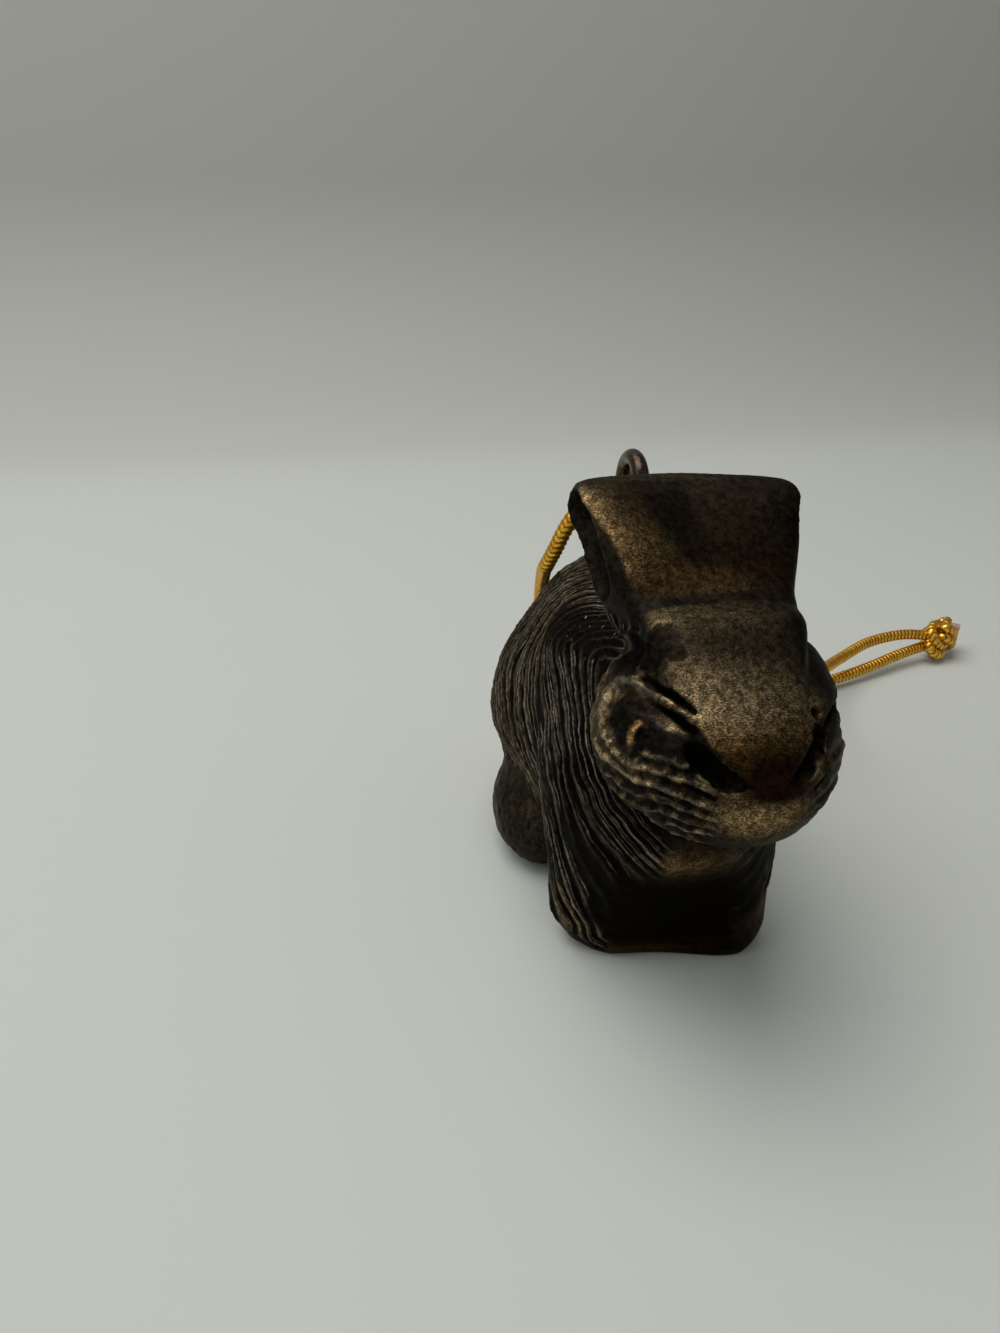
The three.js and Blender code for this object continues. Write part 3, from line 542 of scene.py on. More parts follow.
def zonesOf(c, skin):  # how far each point belongs to each place, from 0 to 1
    co, side, normal = skin.co, skin.side, skin.normal
    x, y, z = co.T
    on = SimpleNamespace()
    wall = ramp(-np.abs(ovalGap(co, *c["chamber"])), -0.7, -0.3)
    slot = ramp(-np.abs(np.abs(x) - 2.5), -0.5, -0.2) * (np.abs(normal[:, 0]) > 0.7)
    on.inside = np.maximum(wall, slot * (z < 12) * (np.abs(y - 7.15) < 9.8))
    skull = ovalGap(co, *c["head"])
    temple = ovalGap(side, *c["temple"])
    snout = ovalGap(co, *c["muzzle"])
    on.ear = ramp(z, 43, 44.6) * ramp(y, -19.5, -18)
    on.head = ramp(-np.minimum(np.minimum(skull, temple), snout), -1.5, -0.8)
    on.head *= ramp(-y, 10.5, 12.5) * clearOf(on, "inside", "ear")

    # the blaze is wider over the far brow
    gap, width, _ = blazePlace(co, c)
    on.earFront = (x < 0) * (z > 45.5) * (y > -19.5)
    width = np.where(on.earFront, np.minimum(width, skin.edge), width)
    on.width = width + 0.9 * (x > 0) * bell(z, 38.4, 2) * (y < -24)
    farBrow = ramp(z - 36.3 - 0.62 * (x - 6.3), -0.1, 0.5) * ramp(x, 3.5, 5) * ramp(-x, -10.2, -9.4)
    farBrow = farBrow * (y < -20.5) * ramp(-z, -44, -42)
    on.blaze = np.maximum(ramp(on.width - np.abs(x), -0.15, 0.45) * ramp(-gap, -3.6, -2.4), farBrow)
    on.blaze *= ramp(-normal[:, 1] + 0.6 * normal[:, 2], 0.1, 0.5)

    # feet, chest, underside and the shaded lines
    on.foot = ramp(-ovalGap(side, *c["hindFoot"]), -0.9, -0.35)
    on.panel = ramp(-normal[:, 1], 0.5, 0.8) * ramp(-z, -15, -13.4)
    on.panel *= ramp(np.minimum(x + 8.4, 7.4 - x), 0, 1.6) * (y < -6)
    on.chest = ramp(-np.abs(x), -5.4, -3) * ramp(-y, 16.5, 18.5) * (z < 26)
    on.muzzle = ramp(-np.abs(x), -5.4, -3.6) * ramp(-y, 28.5, 30.5)
    on.below = ramp(-normal[:, 2], 0.35, 0.75) * ramp(-z, -14, -9)
    on.recess = ramp(-lineGap(side, c["recess"])[0], -3, -1)
    on.whorl = ramp(-lineGap(side, c["whorl"])[0], -3.6, -1.2)
    socket = ramp(-ovalGap(side, *c["socket"]), -0.35, 0.55)
    tail = -lineGap(side, c["socketTail"])[0]
    on.socket = on.head * np.maximum(socket, ramp(tail, -1.5, -0.8))
    on.socketTail = on.head * ramp(tail, -1.4, -0.6)
    on.bevel = ramp(skin.back, 0.05, 0.5)

    # the side away from the photo is worn flatter
    near = 1 - (1 - c["farSide"]) * ramp(x, -1, 2)
    near = near + 0.15 * ramp(x, 2, 4) * ramp(-y, 8, 11) * ramp(-z, -19, -15)
    on.near = near * (1 - 0.5 * on.head * ramp(x, 6, 8) * ramp(z, 37, 39))
    on.nearBrow = ramp(-x, -3, -1)
    return on


def carveFur(c, skin, on):  # depth of the fur lines
    co, side = skin.co, skin.side
    x, _, z = co.T

    # cheek lines run round the eye and on to the muzzle, body lines from the back to the feet
    cheekLabel = lineField(side, cheekGuides) + 0.04 * ripple(side, 4, 21)
    on.cheek = on.head * clearOf(on, "blaze", "muzzle") * (1 - 0.8 * on.socket)
    on.cheek *= (1 - groove(side, c["pitRim"], c["pit"][2])) * (1 - 0.85 * spot(side, *c["underEye"]))
    bodyLabel = lineField(skin.unpushed, bodyGuides) + 0.08 * ripple(side, 9, 31) + 0.015 * ripple(side, 3, 32)
    bodyLabel = bodyLabel + 0.12 * np.sin(bodyLabel * 2.1)
    on.body = clearOf(on, "head", "blaze", "ear", "foot", "panel", "below", "chest")
    on.body *= (1 - 0.75 * on.whorl) * (1 - 0.8 * on.recess)
    on.body *= 1 - ramp(spot(co, *c["plainForefoot"]), 0.3, 0.6)

    # ear backs carry lines from root to tip
    earBack = on.ear * (1 - on.blaze) * ramp(skin.normal[:, 1], 0, 0.4)
    label = np.where(on.cheek > on.body, cheekLabel, bodyLabel)
    acrossEar = np.abs(x) / np.maximum(on.width, 1) * c["earLines"]
    on.label = np.where(earBack > np.maximum(on.cheek, on.body), acrossEar, label)
    amount = np.maximum(on.cheek * c["cheekDepth"] / c["bodyDepth"], on.body)
    amount = np.maximum(amount, earBack * 0.35) * (1 - on.inside)
    amount = amount * (1 - np.clip(4 * on.cheek * on.body, 0, 1) * 0.8)
    on.amount = amount * np.clip(0.9 + 0.2 * ripple(co, 6, 41), 0.5, 1.15) * ramp(z, 0.15, 0.9) * on.near

    # broad hollow valleys between narrow ridges of uneven height
    row = np.floor(on.label)
    fromRidge = np.sqrt((2 * np.abs(on.label - row - 0.5)) ** 2 + c["ridgeRound"] ** 2)
    tall = 0.78 + 0.22 * np.sin(row * 2.4 + 1.3) + (0.12 + 0.2 * on.head) * ripple(co, 2.4, 66)
    crest = ((1 - fromRidge) / (1 - c["ridgeRound"])).clip(0, None) ** 2
    sink = c["bodyDepth"] * on.amount * (1 - np.clip(tall, 0.25, 1.05) * crest)

    # the ring round the eye is broken into beads
    _, across, up = (side - np.array(c["socket"][0])).T
    on.ring = ramp(-np.abs(cheekLabel - 0.8) + 0.25 * ripple(side, 1.6, 67), -1.3, -0.4) * on.cheek
    on.ring *= ramp(-side[:, 0], 8.4, 10.4) * ramp(-z, -40, -38.4)
    beads = 0.09 + 0.09 * np.sin(np.arctan2(up, across) * 21 + 2 * cheekLabel)
    return sink + on.ring * on.near * (beads - 0.5 * c["cheekDepth"] * np.clip(fromRidge - 0.3, 0, 1))


def carveFace(c, skin, on):  # depth of the brow's cuts, pads at the forehead's edge, the eyes and a pin hole
    co, side, near = skin.co, skin.side, on.near
    sink, on.cuts = 0, 0
    for where, cuts in ((on.nearBrow, c["browCuts"]), (1, c["otherCuts"])):
        for wide, depth, points in cuts:
            cut = groove(side, wide, points) * where
            sink, on.cuts = sink + near * depth * cut, on.cuts + cut
    wide, depth, points = c["pit"]
    reach, along = lineGap(side, points)
    reach = (reach + 0.14 * ripple(side, 0.9, 45)) / np.interp(along, (0, 0.5, 1), wide)
    pit, pitShade = ramp(-reach, -1.6, 0), 1 - 0.5 * ramp(along, 0.35, 0.8)
    # painted shade round the edge of the pit
    on.pitEdge = ramp(-reach, -2, -0.7) * near * pitShade
    on.cuts = np.clip(on.cuts + pit * pitShade, 0, 1)
    wide, farDepth, points = c["farSlot"]
    on.farSlot = farDepth * groove(co, wide, points)
    sink = sink + depth * pit + on.farSlot

    on.pale, on.pads = np.zeros(len(co)), np.zeros(len(co))
    for line in c["ridges"]:
        away, along = lineGap(side, line)
        on.pale = np.maximum(on.pale, bell(away, 0, 0.3) * np.sin(np.pi * np.clip(along, 0.1, 0.9)))
    on.pale *= on.nearBrow
    for centre, radius in c["pads"]:
        away = ballGap(side, centre) + 0.3 * ripple(side, 1.5, 51)
        sink = sink + near * (0.08 * bell(away, radius, 0.2) + 0.03 * ramp(-away, -radius, 0))
        on.pads = np.maximum(on.pads, ramp(-away, -radius - 0.25, -radius))

    on.pinHole = ramp(-ballGap(co, c["pinHole"]), -0.75, -0.25)
    flat = np.stack([side @ np.array(c["eyeAcross"]), side @ np.array(c["eyeUp"])], 1)
    atEye = on.head * ramp(-ballGap(side, c["eyeCentre"]), -3.2, -2.4)
    away = lineGap(flat, c["crescent"])[0] + 0.03 * ripple(side, 0.9, 46)
    on.crescent = atEye * ramp(-away, -0.44, -0.2)
    on.pupil = atEye * ramp(-ballGap(flat, c["pupil"]), -0.8, -0.4)
    farEye = ramp(-ballGap(co, c["farEye"]), -2.2, -0.9)
    eye = 0.28 * on.pupil * (1 - on.crescent) - 0.2 * on.crescent
    return sink - 0.16 * on.pale + farEye + 0.8 * on.pinHole + near * eye


def carveGrain(skin, on):  # depth of the uneven cast surface
    co = skin.co
    sink = 0.03 * on.amount * (ripple(co, 1.3, 62) + 0.6 * ripple(co, 0.8, 63))
    bumps = ripple(co, 1.1, 64) + 0.5 * ripple(co, 0.7, 65)
    sink += 0.05 * on.near**2 * on.head * (1 - on.blaze) * bumps
    return sink + 0.05 * (1 - on.inside) * (on.foot + on.whorl + 0.6 * on.socket) * ripple(co, 1.4, 61)


def paintRabbit(c, skin, on):  # dark patina in the hollows with painted shade, bright wear where hands have been with painted highlight on the lit side, and tints
    x, y, z = skin.co.T
    side, carved = skin.side, skin.carved
    lowPanel = ramp(-z, -4.2, -1.4)
    on.nose = np.clip(1.25 * spot(carved, *c["nose"]), 0, 1) * ramp(z, 32.4, 33.6) * on.head
    on.hollow = on.ear * clearOf(on, "blaze", "bevel") * ramp(-skin.bulge, -0.05, 0.2)
    on.hollow *= ramp(-skin.normal[:, 1], -0.6, -0.2)
    # painted shade along the crease under the ear
    on.crease = ramp(-np.hypot(y + 19, z - 46.6), -1.1, -0.1) * on.blaze
    # painted shade on the upper front panel, standing in for a dark reflection
    on.upperPanel = on.panel * (1 - 0.7 * lowPanel)
    on.padShade = spot(side, *c["padShade"])
    # painted shade on the front of the ear
    on.farEarFront = on.blaze * ramp(z, 48, 49.5) * ramp(x, -8, 3)
    on.cutEdge = ramp(skin.back, 0.4, 0.9) * (x < 0)
    # painted shade on the front of the body
    on.foreBody = on.body * ramp(-y, -1, 4)
    soot = layered(on, c["sootLevels"])
    soot = np.clip(soot * (1 - on.crescent) * (1 - 0.8 * on.pale), 0, 1)

    # painted highlight: the rump, the hind feet and the ear top are brighter on the lit side
    lit = ramp(-x, -8, 2)
    on.ridge = ramp(skin.bulge, 0.2, 0.6) * (1 - on.inside) * (1 - 0.5 * on.ear)
    on.blazeSpots = spots(carved, c["blazeSpots"]) * on.blaze
    on.muzzleSpots = spots(carved, c["muzzleSpots"])
    on.sideSpots = spots(side, c["sideSpots"]) * on.near**2
    on.earLine = on.blaze * on.earFront * ramp(z, 47, 48.5) * bell(on.width - np.abs(x), 0.25, 0.4)
    on.browEdge = on.blaze * bell(lineGap(carved, c["browEdge"])[0], 0, 0.8)
    on.chestBand = on.chest * bell(z, 17.9, 1.5) * (0.4 + 0.6 * ramp(-x, -2, 3))
    on.panelFoot = on.panel * lowPanel * ramp(-x, -5, 2)
    on.ringMottle = on.ring * (0.4 + 0.6 * on.nearBrow) * np.clip(0.5 + 0.3 * ripple(carved, 1.1, 72), 0.1, 0.9)
    on.cheekBlotch = on.cheek * np.clip(ripple(side, 1.7, 71), 0, 1) * on.near
    on.nearBevel = on.bevel * ramp(-x, 0, 2)
    on.rump = on.body * ramp(y, -2, 4) * lit
    on.litFoot = on.foot * lit
    on.earTop = on.ear * ramp(z, 54.2, 55) * lit
    wear = layered(on, c["wearLevels"])
    wear = np.clip(wear * (1 - 0.85 * on.nose) * (1 - 0.75 * soot), 0, 1)

    on.redRoot = on.blaze * bell(z, 47.9, 1.1) * ramp(y, -20, -18.4)
    on.redTip = on.blaze * ramp(z, 54.5, 56)
    on.redPanel = on.panel * ramp(-z, -4.5, -1)
    on.amberFace = on.blaze * ramp(-z, -39.5, -36) * ramp(z, 32.6, 34)
    on.amberEar = on.blaze * ramp(z, 46.4, 47) * ramp(-z, -58, -50)
    on.forehead = on.blaze * bell(z, 44.4, 1)
    fields = {name: np.clip(layered(on, c[name + "Levels"]), 0, 1) for name in ("red", "amber", "sheen")}
    fields.update(furLabel=on.label, furAmount=on.amount * (1 - 0.45 * on.head), wear=wear, soot=soot)
    fields.update(cast=on.inside, dust=on.whorl * (1 - on.inside))
    return fields


def carveRabbit(c):
    step = c["skinStep"] * 1
    mesh = evenSkin(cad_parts["rabbit_casting"], step)
    co, edges = readMesh(mesh)
    co = smoothed(co, edges, c["easeSteps"])  # takes out facets and keeps the bulk
    skin = SimpleNamespace()
    co, skin.back, skin.edge = cutEar(c, co, edges, normalsOf(mesh, co))
    mirror = np.where(co[:, :1] < 0, 1.0, -1.0) * np.array([1.0, 0, 0]) + np.array([0, 1.0, 1.0])
    skin.unpushed = co * mirror
    low, high = (np.array(v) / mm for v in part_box("rabbit_casting"))
    skin.co = np.clip(pushOutline(c, co, mirror), low, high)
    skin.normal = normalsOf(mesh, skin.co)
    skin.side = skin.co.copy()
    skin.side[:, 0] = -np.abs(skin.side[:, 0])
    skin.bulge = ((skin.co - smoothed(skin.co, edges, c["bulgeSteps"])) * skin.normal).sum(1)
    on = zonesOf(c, skin)
    print("rabbit zones made")

    sink = carveFur(c, skin, on) + carveFace(c, skin, on) + carveGrain(skin, on)
    co = skin.co - skin.normal * sink[:, None]
    co[:, 2] -= c["earDroop"] * np.maximum(co[:, 0], 0) * ramp(co[:, 2], 46, 55)
    skin.carved = np.clip(co, low + c["margin"], high - c["margin"])
    settle(mesh, skin.carved)
    store(mesh, **paintRabbit(c, skin, on))
    piece = thinned(linked("rabbit", mesh), c["triangles"])
    print("rabbit skin:", len(piece.data.polygons), "faces")
    return piece


def bronzeMaterial(c):
    material, tree, shader = newMaterial("agedBronze")
    names = ("furLabel", "furAmount", "wear", "soot", "cast", "red", "amber", "sheen", "dust")
    label, amount, wear, soot, cast, red, amber, sheen, dust = (painted(tree, name) for name in names)

    # crests, dips and fine hairs of the fur, streaked along its lines
    place = add(tree, "ShaderNodeSeparateXYZ", {0: ownPlace(tree)}).outputs
    strand = {"X": times(tree, label, 2.3), **{key: times(tree, place[key], 140.0) for key in "YZ"}}
    streak = grain(tree, 1.0, 4.0, 0.65, first(tree, "ShaderNodeCombineXYZ", strand))
    fromRidge = maths(tree, "PINGPONG", maths(tree, "ADD", label, 0.5), 0.5)
    crest = times(tree, stretched(tree, fromRidge, 0.15, 0.015), amount, clamp=True)
    dip = times(tree, stretched(tree, fromRidge, 0.09, 0.34), amount, clamp=True)
    patchy = stretched(tree, streak, 0.4, 0.64)
    fromHair = maths(tree, "PINGPONG", plus(tree, streak, 0.5, plus(tree, label, 2.0, 0.25)), 0.5)
    thick = times(tree, stretched(tree, amount, 0.62, 0.8), stretched(tree, streak, 0.42, 0.6))
    hairs = times(tree, stretched(tree, fromHair, 0.16, 0.02), thick, clamp=True)

    # bare metal, pale crests and hairs with painted highlight, dark hollows and fur valleys with dark patina and
    # painted shade, and tints
    onFur = maths(tree, "SUBTRACT", 1.0, times(tree, dip, 0.95))
    bare = plus(tree, times(tree, crest, patchy), 0.1, times(tree, wear, onFur))
    bare = maths(tree, "SUBTRACT", bare, times(tree, soot, 0.3))
    finish = patina(tree, c, plus(tree, cast, 0.1, bare, clamp=True))
    # painted highlight on the fur crests and fine hairs
    pale = times(tree, crest, plus(tree, patchy, 0.8, 0.2))
    pale = maths(tree, "MAXIMUM", pale, times(tree, hairs, 0.8), clamp=True)
    # painted shade in the fur valleys, together with the dark patina
    shade = plus(tree, soot, 0.85, times(tree, dip, 0.85), clamp=True)
    shade = plus(tree, hairs, -0.75, shade, clamp=True)
    colour = mixed(tree, pale, finish["Color"], c["hairTint"], "LIGHTEN")
    colour = mixed(tree, shade, colour, c["sootTint"])
    colour = mixed(tree, amber, colour, c["amberTint"], "MULTIPLY")
    colour = mixed(tree, times(tree, red, 0.6), colour, c["redTint"])
    mottle = grain(tree, c["mottleScale"], 4, 0.7)
    level = stretched(tree, mottle, 0.34, 0.66, 0.42, 1.6)
    level = first(tree, "ShaderNodeCombineColor", {0: level, 1: level, 2: level})
    colour = mixed(tree, 1.0, colour, level, "MULTIPLY")
    motes = times(tree, stretched(tree, grain(tree, c["moteScale"], 0), 0.79, 0.83), dust)

    rough = plus(tree, sheen, -0.06, plus(tree, grain(tree, c["roughScale"], 2), 0.24, 0.33))
    height = plus(tree, finish["Height"], 0.75, times(tree, dip, -0.9))
    height = plus(tree, hairs, 0.6, plus(tree, times(tree, streak, amount), 0.9, height))
    height = plus(tree, mottle, 0.7, height)
    feed(tree, shader, {
        "Base Color": mixed(tree, motes, colour, c["moteTint"]),
        "Specular Tint": c["edgeTint"],  # keeps dark edges dark
        "Metallic": plus(tree, pale, -0.35, 0.97),
        "Roughness": plus(tree, shade, 0.22, rough),
        "Normal": bumped(tree, height, 0.00014, 0.8),
    })
    return material


rabbitPiece = carveRabbit(rabbit)
rabbitPiece.data.materials.clear()
rabbitPiece.data.materials.append(bronzeMaterial(rabbit))
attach(rabbitPiece, "bell")
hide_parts("rabbit_casting")
print("rabbit made")


# tube along a curve, with ribs where asked, by geometry nodes
def named(tree, geometry, name, value):  # keeps a value on the points
    values = {"Geometry": geometry, "Name": name, "Value": value}
    return first(tree, "GeometryNodeStoreNamedAttribute", values, domain="POINT")


def tubeTree():
    tree = bpy.data.node_groups.new("ribbedTube", "GeometryNodeTree")
    addSockets(tree, "INPUT", {
        "Geometry": "Geometry", "Radius": "Float", "Step": "Float", "Sides": "Int",
        "Rib Pitch": "Float", "Rib Height": "Float", "Rib Slant": "Float", "Material": "Material",
    })
    addSockets(tree, "OUTPUT", {"Geometry": "Geometry"})
    into = add(tree, "NodeGroupInput").outputs
    values = {"Curve": into["Geometry"], "Length": into["Step"]}
    path = first(tree, "GeometryNodeResampleCurve", values, mode="LENGTH")
    spline = add(tree, "GeometryNodeSplineParameter").outputs
    path = named(tree, path, "alongCord", spline["Length"])
    values = {"Resolution": into["Sides"], "Radius": into["Radius"]}
    ring = first(tree, "GeometryNodeCurvePrimitiveCircle", values)
    ring = named(tree, ring, "aroundCord", spline["Factor"])
    radius = first(tree, "GeometryNodeInputRadius")
    values = {"Curve": path, "Profile Curve": ring, "Scale": radius, "Fill Caps": True}
    tube = first(tree, "GeometryNodeCurveToMesh", values)
    along = first(tree, "GeometryNodeInputNamedAttribute", {"Name": "alongCord"})
    around = first(tree, "GeometryNodeInputNamedAttribute", {"Name": "aroundCord"})
    slant = times(tree, maths(tree, "PINGPONG", times(tree, around, 2.0), 0.5), into["Rib Slant"])
    phase = maths(tree, "ADD", maths(tree, "DIVIDE", along, into["Rib Pitch"]), slant)
    rib = maths(tree, "ABSOLUTE", maths(tree, "SINE", times(tree, phase, math.pi)))
    lift = times(tree, maths(tree, "SUBTRACT", rib, 1.0), into["Rib Height"])
    normal = first(tree, "GeometryNodeInputNormal")
    offset = first(tree, "ShaderNodeVectorMath", {0: normal, "Scale": lift}, operation="SCALE")
    tube = named(tree, tube, "rib", rib)
    tube = first(tree, "GeometryNodeSetPosition", {"Geometry": tube, "Offset": offset})
    tube = first(tree, "GeometryNodeSetShadeSmooth", {"Geometry": tube})
    tube = first(tree, "GeometryNodeRealizeInstances", {"Geometry": tube})
    tube = first(tree, "GeometryNodeSetMaterial", {"Geometry": tube, "Material": into["Material"]})
    add(tree, "NodeGroupOutput", {"Geometry": tube})
    return tree


tubeNodes = tubeTree()


def tube(name, lines, material, c, radii=None):
    data = bpy.data.curves.new(name + "Path", "CURVE")
    data.dimensions = "3D"
    for line in lines:
        spline = data.splines.new("POLY")
        spline.points.add(len(line) - 1)
        points = np.hstack([line * mm, np.ones((len(line), 1))])
        spline.points.foreach_set("co", points.astype(np.float32).ravel())
        if radii is not None:
            spline.points.foreach_set("radius", radii.astype(np.float32))
    path = linked(name + "Path", data)
    modifier = path.modifiers.new("tube", "NODES")
    modifier.node_group = tubeNodes
    values = {
        "Radius": c["tubeRadius"] * mm, "Step": c["step"] * mm, "Sides": c["sides"], "Material": material,
        "Rib Pitch": c["ribPitch"] * mm, "Rib Height": c["ribHeight"] * mm, "Rib Slant": c["ribSlant"],
    }
    for socket in tubeNodes.interface.items_tree:
        if socket.in_out == "INPUT" and socket.name in values:
            modifier[socket.identifier] = values[socket.name]
    mesh = plainMesh(path, name)
    bpy.data.objects.remove(path)
    return linked(name, mesh)


def between(t, low, high, a, b):  # a at the low end, b at the high end
    return (high - t) / (high - low) * a + (t - low) / (high - low) * b


def throughPoints(points, per=14):  # the same rounded curve as the CAD cord's
    points = np.array(points, float)
    ends = np.vstack([2 * points[0] - points[1], points, 2 * points[-1] - points[-2]])
    out = []
    for p0, p1, p2, p3 in zip(ends, ends[1:], ends[2:], ends[3:]):
        t1 = norm(p1 - p0) ** 0.5
        t2 = t1 + norm(p2 - p1) ** 0.5
        t3 = t2 + norm(p3 - p2) ** 0.5
        t = np.linspace(t1, t2, per, endpoint=False)[:, None]
        a, b, c = between(t, 0, t1, p0, p1), between(t, t1, t2, p1, p2), between(t, t2, t3, p2, p3)
        out.append(between(t, t1, t2, between(t, 0, t2, a, b), between(t, t1, t3, b, c)))
    return np.vstack([*out, points[-1:]])


# gold cord, from the knot through the eye and back to the knot
cord = {
    "tubeRadius": 1.0, "sides": 16, "step": 0.14, "ribPitch": 0.84, "ribHeight": 0.22, "ribSlant": 1.3,
    "gold": (0.9, 0.5, 0.05), "deep": (0.12, 0.04, 0.005), "cutAt": 1000.0,  # no cut end in sight
    "route": [
        (76.7, 55.4, 5.2), (71, 55, 5.9), (63, 52.8, 6), (54.6, 47.6, 5.9), (45.2, 38.4, 8.4), (36.8, 28.4, 14.4),
        (30.6, 20.6, 22.2), (25.2, 15.2, 30.6), (17.5, 11.2, 40.6), (9.6, 9.6, 47), (3.6, 9.1, 49.5),
        (0, 9.1, 50.1), (-3.2, 9.3, 49.5), (-5, 10, 48), (-6.8, 11.4, 44.8), (-7.8, 13.2, 41.3), (-8.3, 15.6, 38.4),
        (-7.8, 18.4, 37.1), (-7.2, 21.4, 35.5), (-6.6, 24.5, 33.3), (-6, 27.7, 29.8), (-5.5, 30.5, 24.9),
        (-5.3, 32.4, 18), (-5.1, 34, 11.4), (-4.7, 35.2, 6), (-3.4, 37.4, 2.6), (0, 39.8, 1.3), (8, 42.6, 1.3),
        (19, 43.8, 1.3), (32, 44.6, 1.3), (44, 45.8, 1.4), (53, 47.4, 1.6), (62, 50.2, 2.1), (70, 53.2, 2.7),
        (76.7, 55.6, 2.9),
    ],
}
braid = {"aged": (0.8, 0.66, 0.5), "cutTint": (0.5, 0.31, 0.24), "agedScale": 900, "threadScale": 5200}


def goldMaterial(name, c, cutAt):  # ribs of gold thread, with pale threads past a cut
    material, tree, shader = newMaterial(name)
    rib = painted(tree, "rib")
    aged = tuple(v * f for v, f in zip(c["gold"], braid["aged"]))
    gold = mixed(tree, stretched(tree, grain(tree, braid["agedScale"], 2), 0.35, 0.65), c["gold"], aged)
    colour = mixed(tree, stretched(tree, rib, 0.1, 0.75), c["deep"], gold)
    cut = stretched(tree, painted(tree, "alongCord"), (cutAt - 0.3) * mm, cutAt * mm)
    feed(tree, shader, {
        "Base Color": mixed(tree, cut, colour, braid["cutTint"]),
        "Metallic": stretched(tree, cut, 0, 1, 0.88, 0.1),
        "Roughness": stretched(tree, rib, 0, 1, 0.5, 0.28),
        "Normal": bumped(tree, grain(tree, braid["threadScale"], 1), 0.00005, 0.35),
    })
    return material


cordLine = throughPoints(cord["route"])
cordPiece = tube("goldCord", [cordLine], goldMaterial("goldThread", cord, cord["cutAt"]), cord)
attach(cordPiece, "bell")
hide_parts("hanging_cord")
print("cord made:", len(cordPiece.data.polygons), "faces")

# overhand knot of the doubled cord, and its two cut ends
knot = {
    "tubeRadius": 0.95, "sides": 14, "step": 0.14, "ribPitch": 0.84, "ribHeight": 0.15, "ribSlant": 1.3,
    "centre": (80.2, 56.3, 4.0), "turn": 17, "open": 0.28, "ring": 1.66, "lobe": 0.75, "longer": 1.1, "lift": 1.75,
    "spread": 0.85, "tail": 2.2, "cutShown": 0.9, "gold": (0.95, 0.58, 0.08), "deep": (0.17, 0.055, 0.006),
}


def knotLines(c):
    t = np.linspace(c["open"], 2 * np.pi - c["open"], 150)
    reach = c["ring"] * (1 + c["lobe"] * np.cos(3 * t))
    loop = [reach * np.cos(2 * t), reach * np.sin(2 * t) * c["longer"], c["lift"] * np.sin(3 * t)]
    loop = np.stack(loop, 1)
    start, end = loop[0][0], loop[-1][0]
    lead = np.array([[start - 0.3, -3.6, 0.0], [start, -2.0, 0.2]])
    away = np.array([[end, 2.2, 0.0], [end - 0.5, 3.2, 0.0], [0.4, 3.0 + c["tail"], -0.2]])
    middle = throughPoints(np.vstack([lead, loop[4:-4:7], away]), 10)
    way = np.gradient(middle, axis=0)
    way /= norm(way, axis=1, keepdims=True)
    up = np.cross(np.cross(way, np.array([0.3, 0.2, 1.0])), way)
    up /= norm(up, axis=1, keepdims=True)
    lines = []
    a = math.radians(c["turn"])
    for s in (-1, 1):
        local = middle + up * (s * c["spread"])
        x = local[:, 1] * math.cos(a) + local[:, 0] * math.sin(a)
        y = local[:, 1] * math.sin(a) + local[:, 0] * math.cos(a)
        lines.append(np.stack([x, y, local[:, 2]], 1) + np.array(c["centre"]))
    return lines


knotPaths = knotLines(knot)
knotLength = norm(np.diff(knotPaths[0], axis=0), axis=1).sum()
knotPiece = tube("cordKnot", knotPaths, goldMaterial("goldKnot", knot, knotLength - knot["cutShown"]), knot)
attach(knotPiece, "bell")
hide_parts("cord_knot")
print("knot made")

# wire eye
eyeLow, eyeHigh = (np.array(v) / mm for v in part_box("hanger_eye"))
wire = {
    "tubeRadius": 0.985, "sides": 24, "step": 0.25, "ribPitch": 1.0, "ribHeight": 0.0, "ribSlant": 0.0,
    "radius": 1.0, "points": 40, "collar": 1.28, "collarReach": 0.55, "seat": 41.6, "lean": 0.3,
    "dark": (0.02, 0.013, 0.008), "warm": (0.05, 0.029, 0.014), "metal": (0.4, 0.25, 0.115), "speckScale": 1800.0,
    "metallic": (0.7, 0.95), "roughScale": 500, "rough": (0.18, 0.3), "bump": (0.00006, 0.4),
}


def wirePath(c):
    n = c["points"]
    mid, half = (eyeLow[1] + eyeHigh[1]) / 2, (eyeHigh[1] - eyeLow[1]) / 2 - c["radius"]
    springing = eyeHigh[2] - c["radius"] - half
    turn = np.linspace(math.pi, 0, n)
    arch = np.stack([np.zeros(n), mid + half * np.cos(turn), springing + half * np.sin(turn)], 1)
    heights = np.linspace(eyeLow[2] + 0.02, springing, n, endpoint=False)
    leg = np.stack([np.zeros(n), np.full(n, mid - half), heights], 1)
    back = leg[::-1] * np.array([1, 0, 1]) + np.array([0, mid + half, 0])
    line = np.vstack([leg, arch, back])
    line[:, 0] += c["lean"] * ramp(line[:, 2], c["seat"], eyeHigh[2])
    flare = 1 + (c["collar"] - 1) * bell(line[:, 2], c["seat"], c["collarReach"])
    return line, flare


def wireMaterial(c):
    material, tree, shader = newMaterial("darkWire")
    plainMetal(tree, shader, c, stretched(tree, grain(tree, 130, 3), 0.42, 0.75, 0.0, 0.4))
    return material


wireLine, wireFlare = wirePath(wire)
wirePiece = tube("wireEye", [wireLine], wireMaterial(wire), wire, wireFlare)
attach(wirePiece, "bell")
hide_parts("hanger_eye")
print("wire eye made")

# loose pellet, a cast ball with its flash line filed down
pelletLow, pelletHigh = (np.array(v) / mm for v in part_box("bell_pellet"))
pellet = {
    "radius": 4.12, "flash": 0.07, "flashReach": 0.35, "dents": 0.05,
    "dark": (0.05, 0.036, 0.02), "warm": (0.12, 0.08, 0.04), "metal": (0.5, 0.36, 0.16), "speckScale": 1500.0,
    "metallic": (0.7, 1.0), "roughScale": 700, "rough": (0.38, 0.55), "bump": (0.0001, 0.5),
}


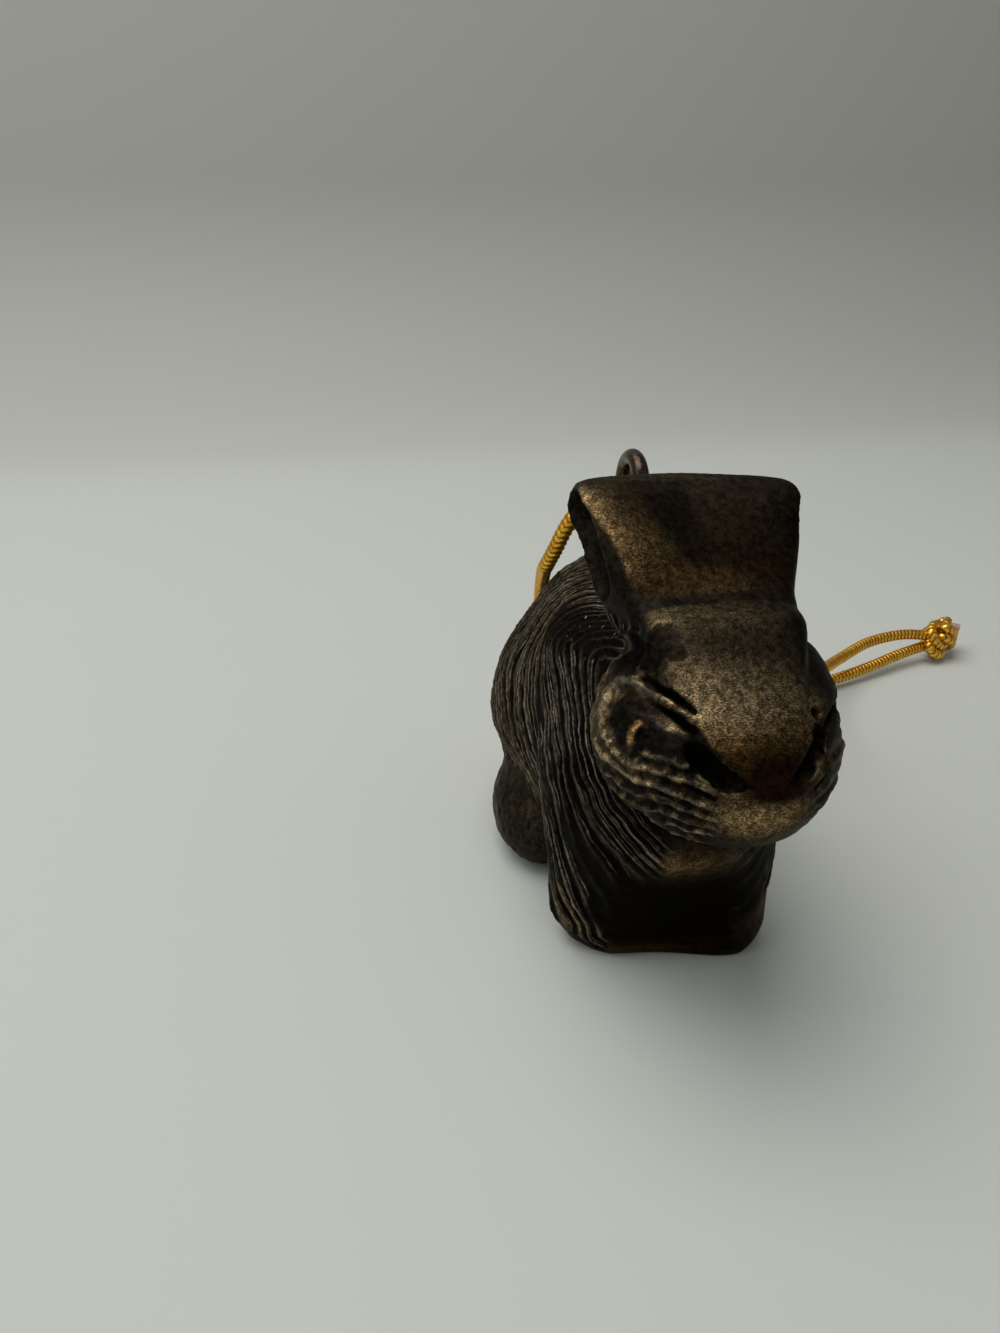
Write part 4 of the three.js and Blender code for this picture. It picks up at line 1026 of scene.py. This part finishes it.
def makePellet(c):
    ball = bmesh.new()
    bmesh.ops.create_icosphere(ball, subdivisions=5, radius=1)
    mesh = bpy.data.meshes.new("bellPellet")
    ball.to_mesh(mesh)
    ball.free()
    co, _ = readMesh(mesh)
    line = bell(co[:, 2] * c["radius"], 0, c["flashReach"])
    reach = c["radius"] - c["flash"] + c["flash"] * line * (0.6 + 0.4 * ripple(co, 0.6, 71)).clip(0, 1)
    reach = reach - c["dents"] * ramp(ripple(co, 0.7, 72), 0.3, 1.2)
    settle(mesh, co * np.minimum(reach, c["radius"])[:, None] + (pelletLow + pelletHigh) / 2)
    store(mesh, flash=line)
    material, tree, shader = newMaterial("castBrass")
    bare = plus(tree, painted(tree, "flash"), 0.35, stretched(tree, grain(tree, 300, 3), 0.3, 0.75, 0.1, 0.6))
    plainMetal(tree, shader, c, bare)
    mesh.materials.append(material)
    return linked("bellPellet", mesh)


pelletPiece = makePellet(pellet)
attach(pelletPiece, "pellet")
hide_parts("bell_pellet")
print("pellet made")

# pale floor that sweeps up into a grey wall in millimetres; its fade and the lights are in metres
studio = {
    "floorZ": -0.03, "wallY": 350, "cove": 90, "coveSteps": 16, "halfWidth": 7000, "front": -7000, "height": 2500,
    "floor": (0.575, 0.592, 0.545), "wall": (0.42, 0.415, 0.385), "wallFrom": 0.2, "wallTo": 0.35,
    "rough": 0.6, "gloss": 0.25, "roomTint": (0.95, 0.98, 1.0), "roomLevel": 0.27,
    # lights: name, place, aim, size, power and colour
    "lights": [
        ("topLight", (-0.16, 0.06, 0.62), (0, 0, 0.02), (0.55, 0.55), 3.0, (1.0, 1.0, 0.99)),
        ("leftLight", (-0.6, -0.1, 0.35), (0, 0, 0.03), (0.4, 0.5), 0.8, (0.95, 0.98, 1.0)),
    ],
}


def makeStudio(c):
    bend, cove = c["wallY"] - c["cove"], c["cove"]
    profile = [(c["front"], c["floorZ"]), (bend, c["floorZ"])]
    for k in range(1, c["coveSteps"] + 1):
        a = k / c["coveSteps"] * math.pi / 2
        profile.append((bend + cove * math.sin(a), c["floorZ"] + cove * (1 - math.cos(a))))
    profile.append((c["wallY"], c["height"]))
    sweep = bmesh.new()
    ends = (-c["halfWidth"], c["halfWidth"])
    rows = [[sweep.verts.new((x * mm, y * mm, z * mm)) for x in ends] for y, z in profile]
    for (a, b), (d, e) in zip(rows[:-1], rows[1:]):
        sweep.faces.new((a, b, e, d)).smooth = True
    mesh = bpy.data.meshes.new("studioSweep")
    sweep.to_mesh(mesh)
    sweep.free()
    material, tree, shader = newMaterial("palePaper")
    y = add(tree, "ShaderNodeSeparateXYZ", {0: ownPlace(tree)}).outputs["Y"]
    colour = mixed(tree, stretched(tree, y, c["wallFrom"], c["wallTo"]), c["floor"], c["wall"])
    feed(tree, shader, {"Base Color": colour, "Roughness": c["rough"], "Specular IOR Level": c["gloss"]})
    mesh.materials.append(material)
    linked("studioSweep", mesh)


def softLight(name, place, aim, size, power, colour):
    data = bpy.data.lights.new(name, "AREA")
    data.shape, data.size, data.size_y = "RECTANGLE", size[0], size[1]
    data.energy, data.color = power, colour
    lamp = linked(name, data)
    lamp.location = place
    lamp.rotation_euler = (Vector(aim) - Vector(place)).to_track_quat("-Z", "Y").to_euler()


def softRoom(c):
    world = bpy.data.worlds.new("softRoom")
    world.use_nodes = True
    background = world.node_tree.nodes["Background"]
    feed(world.node_tree, background, {"Color": c["roomTint"], "Strength": c["roomLevel"]})
    scene.world = world


makeStudio(studio)
for light in studio["lights"]:
    softLight(*light)
softRoom(studio)
scene.view_settings.view_transform = "Standard"
print("studio made")
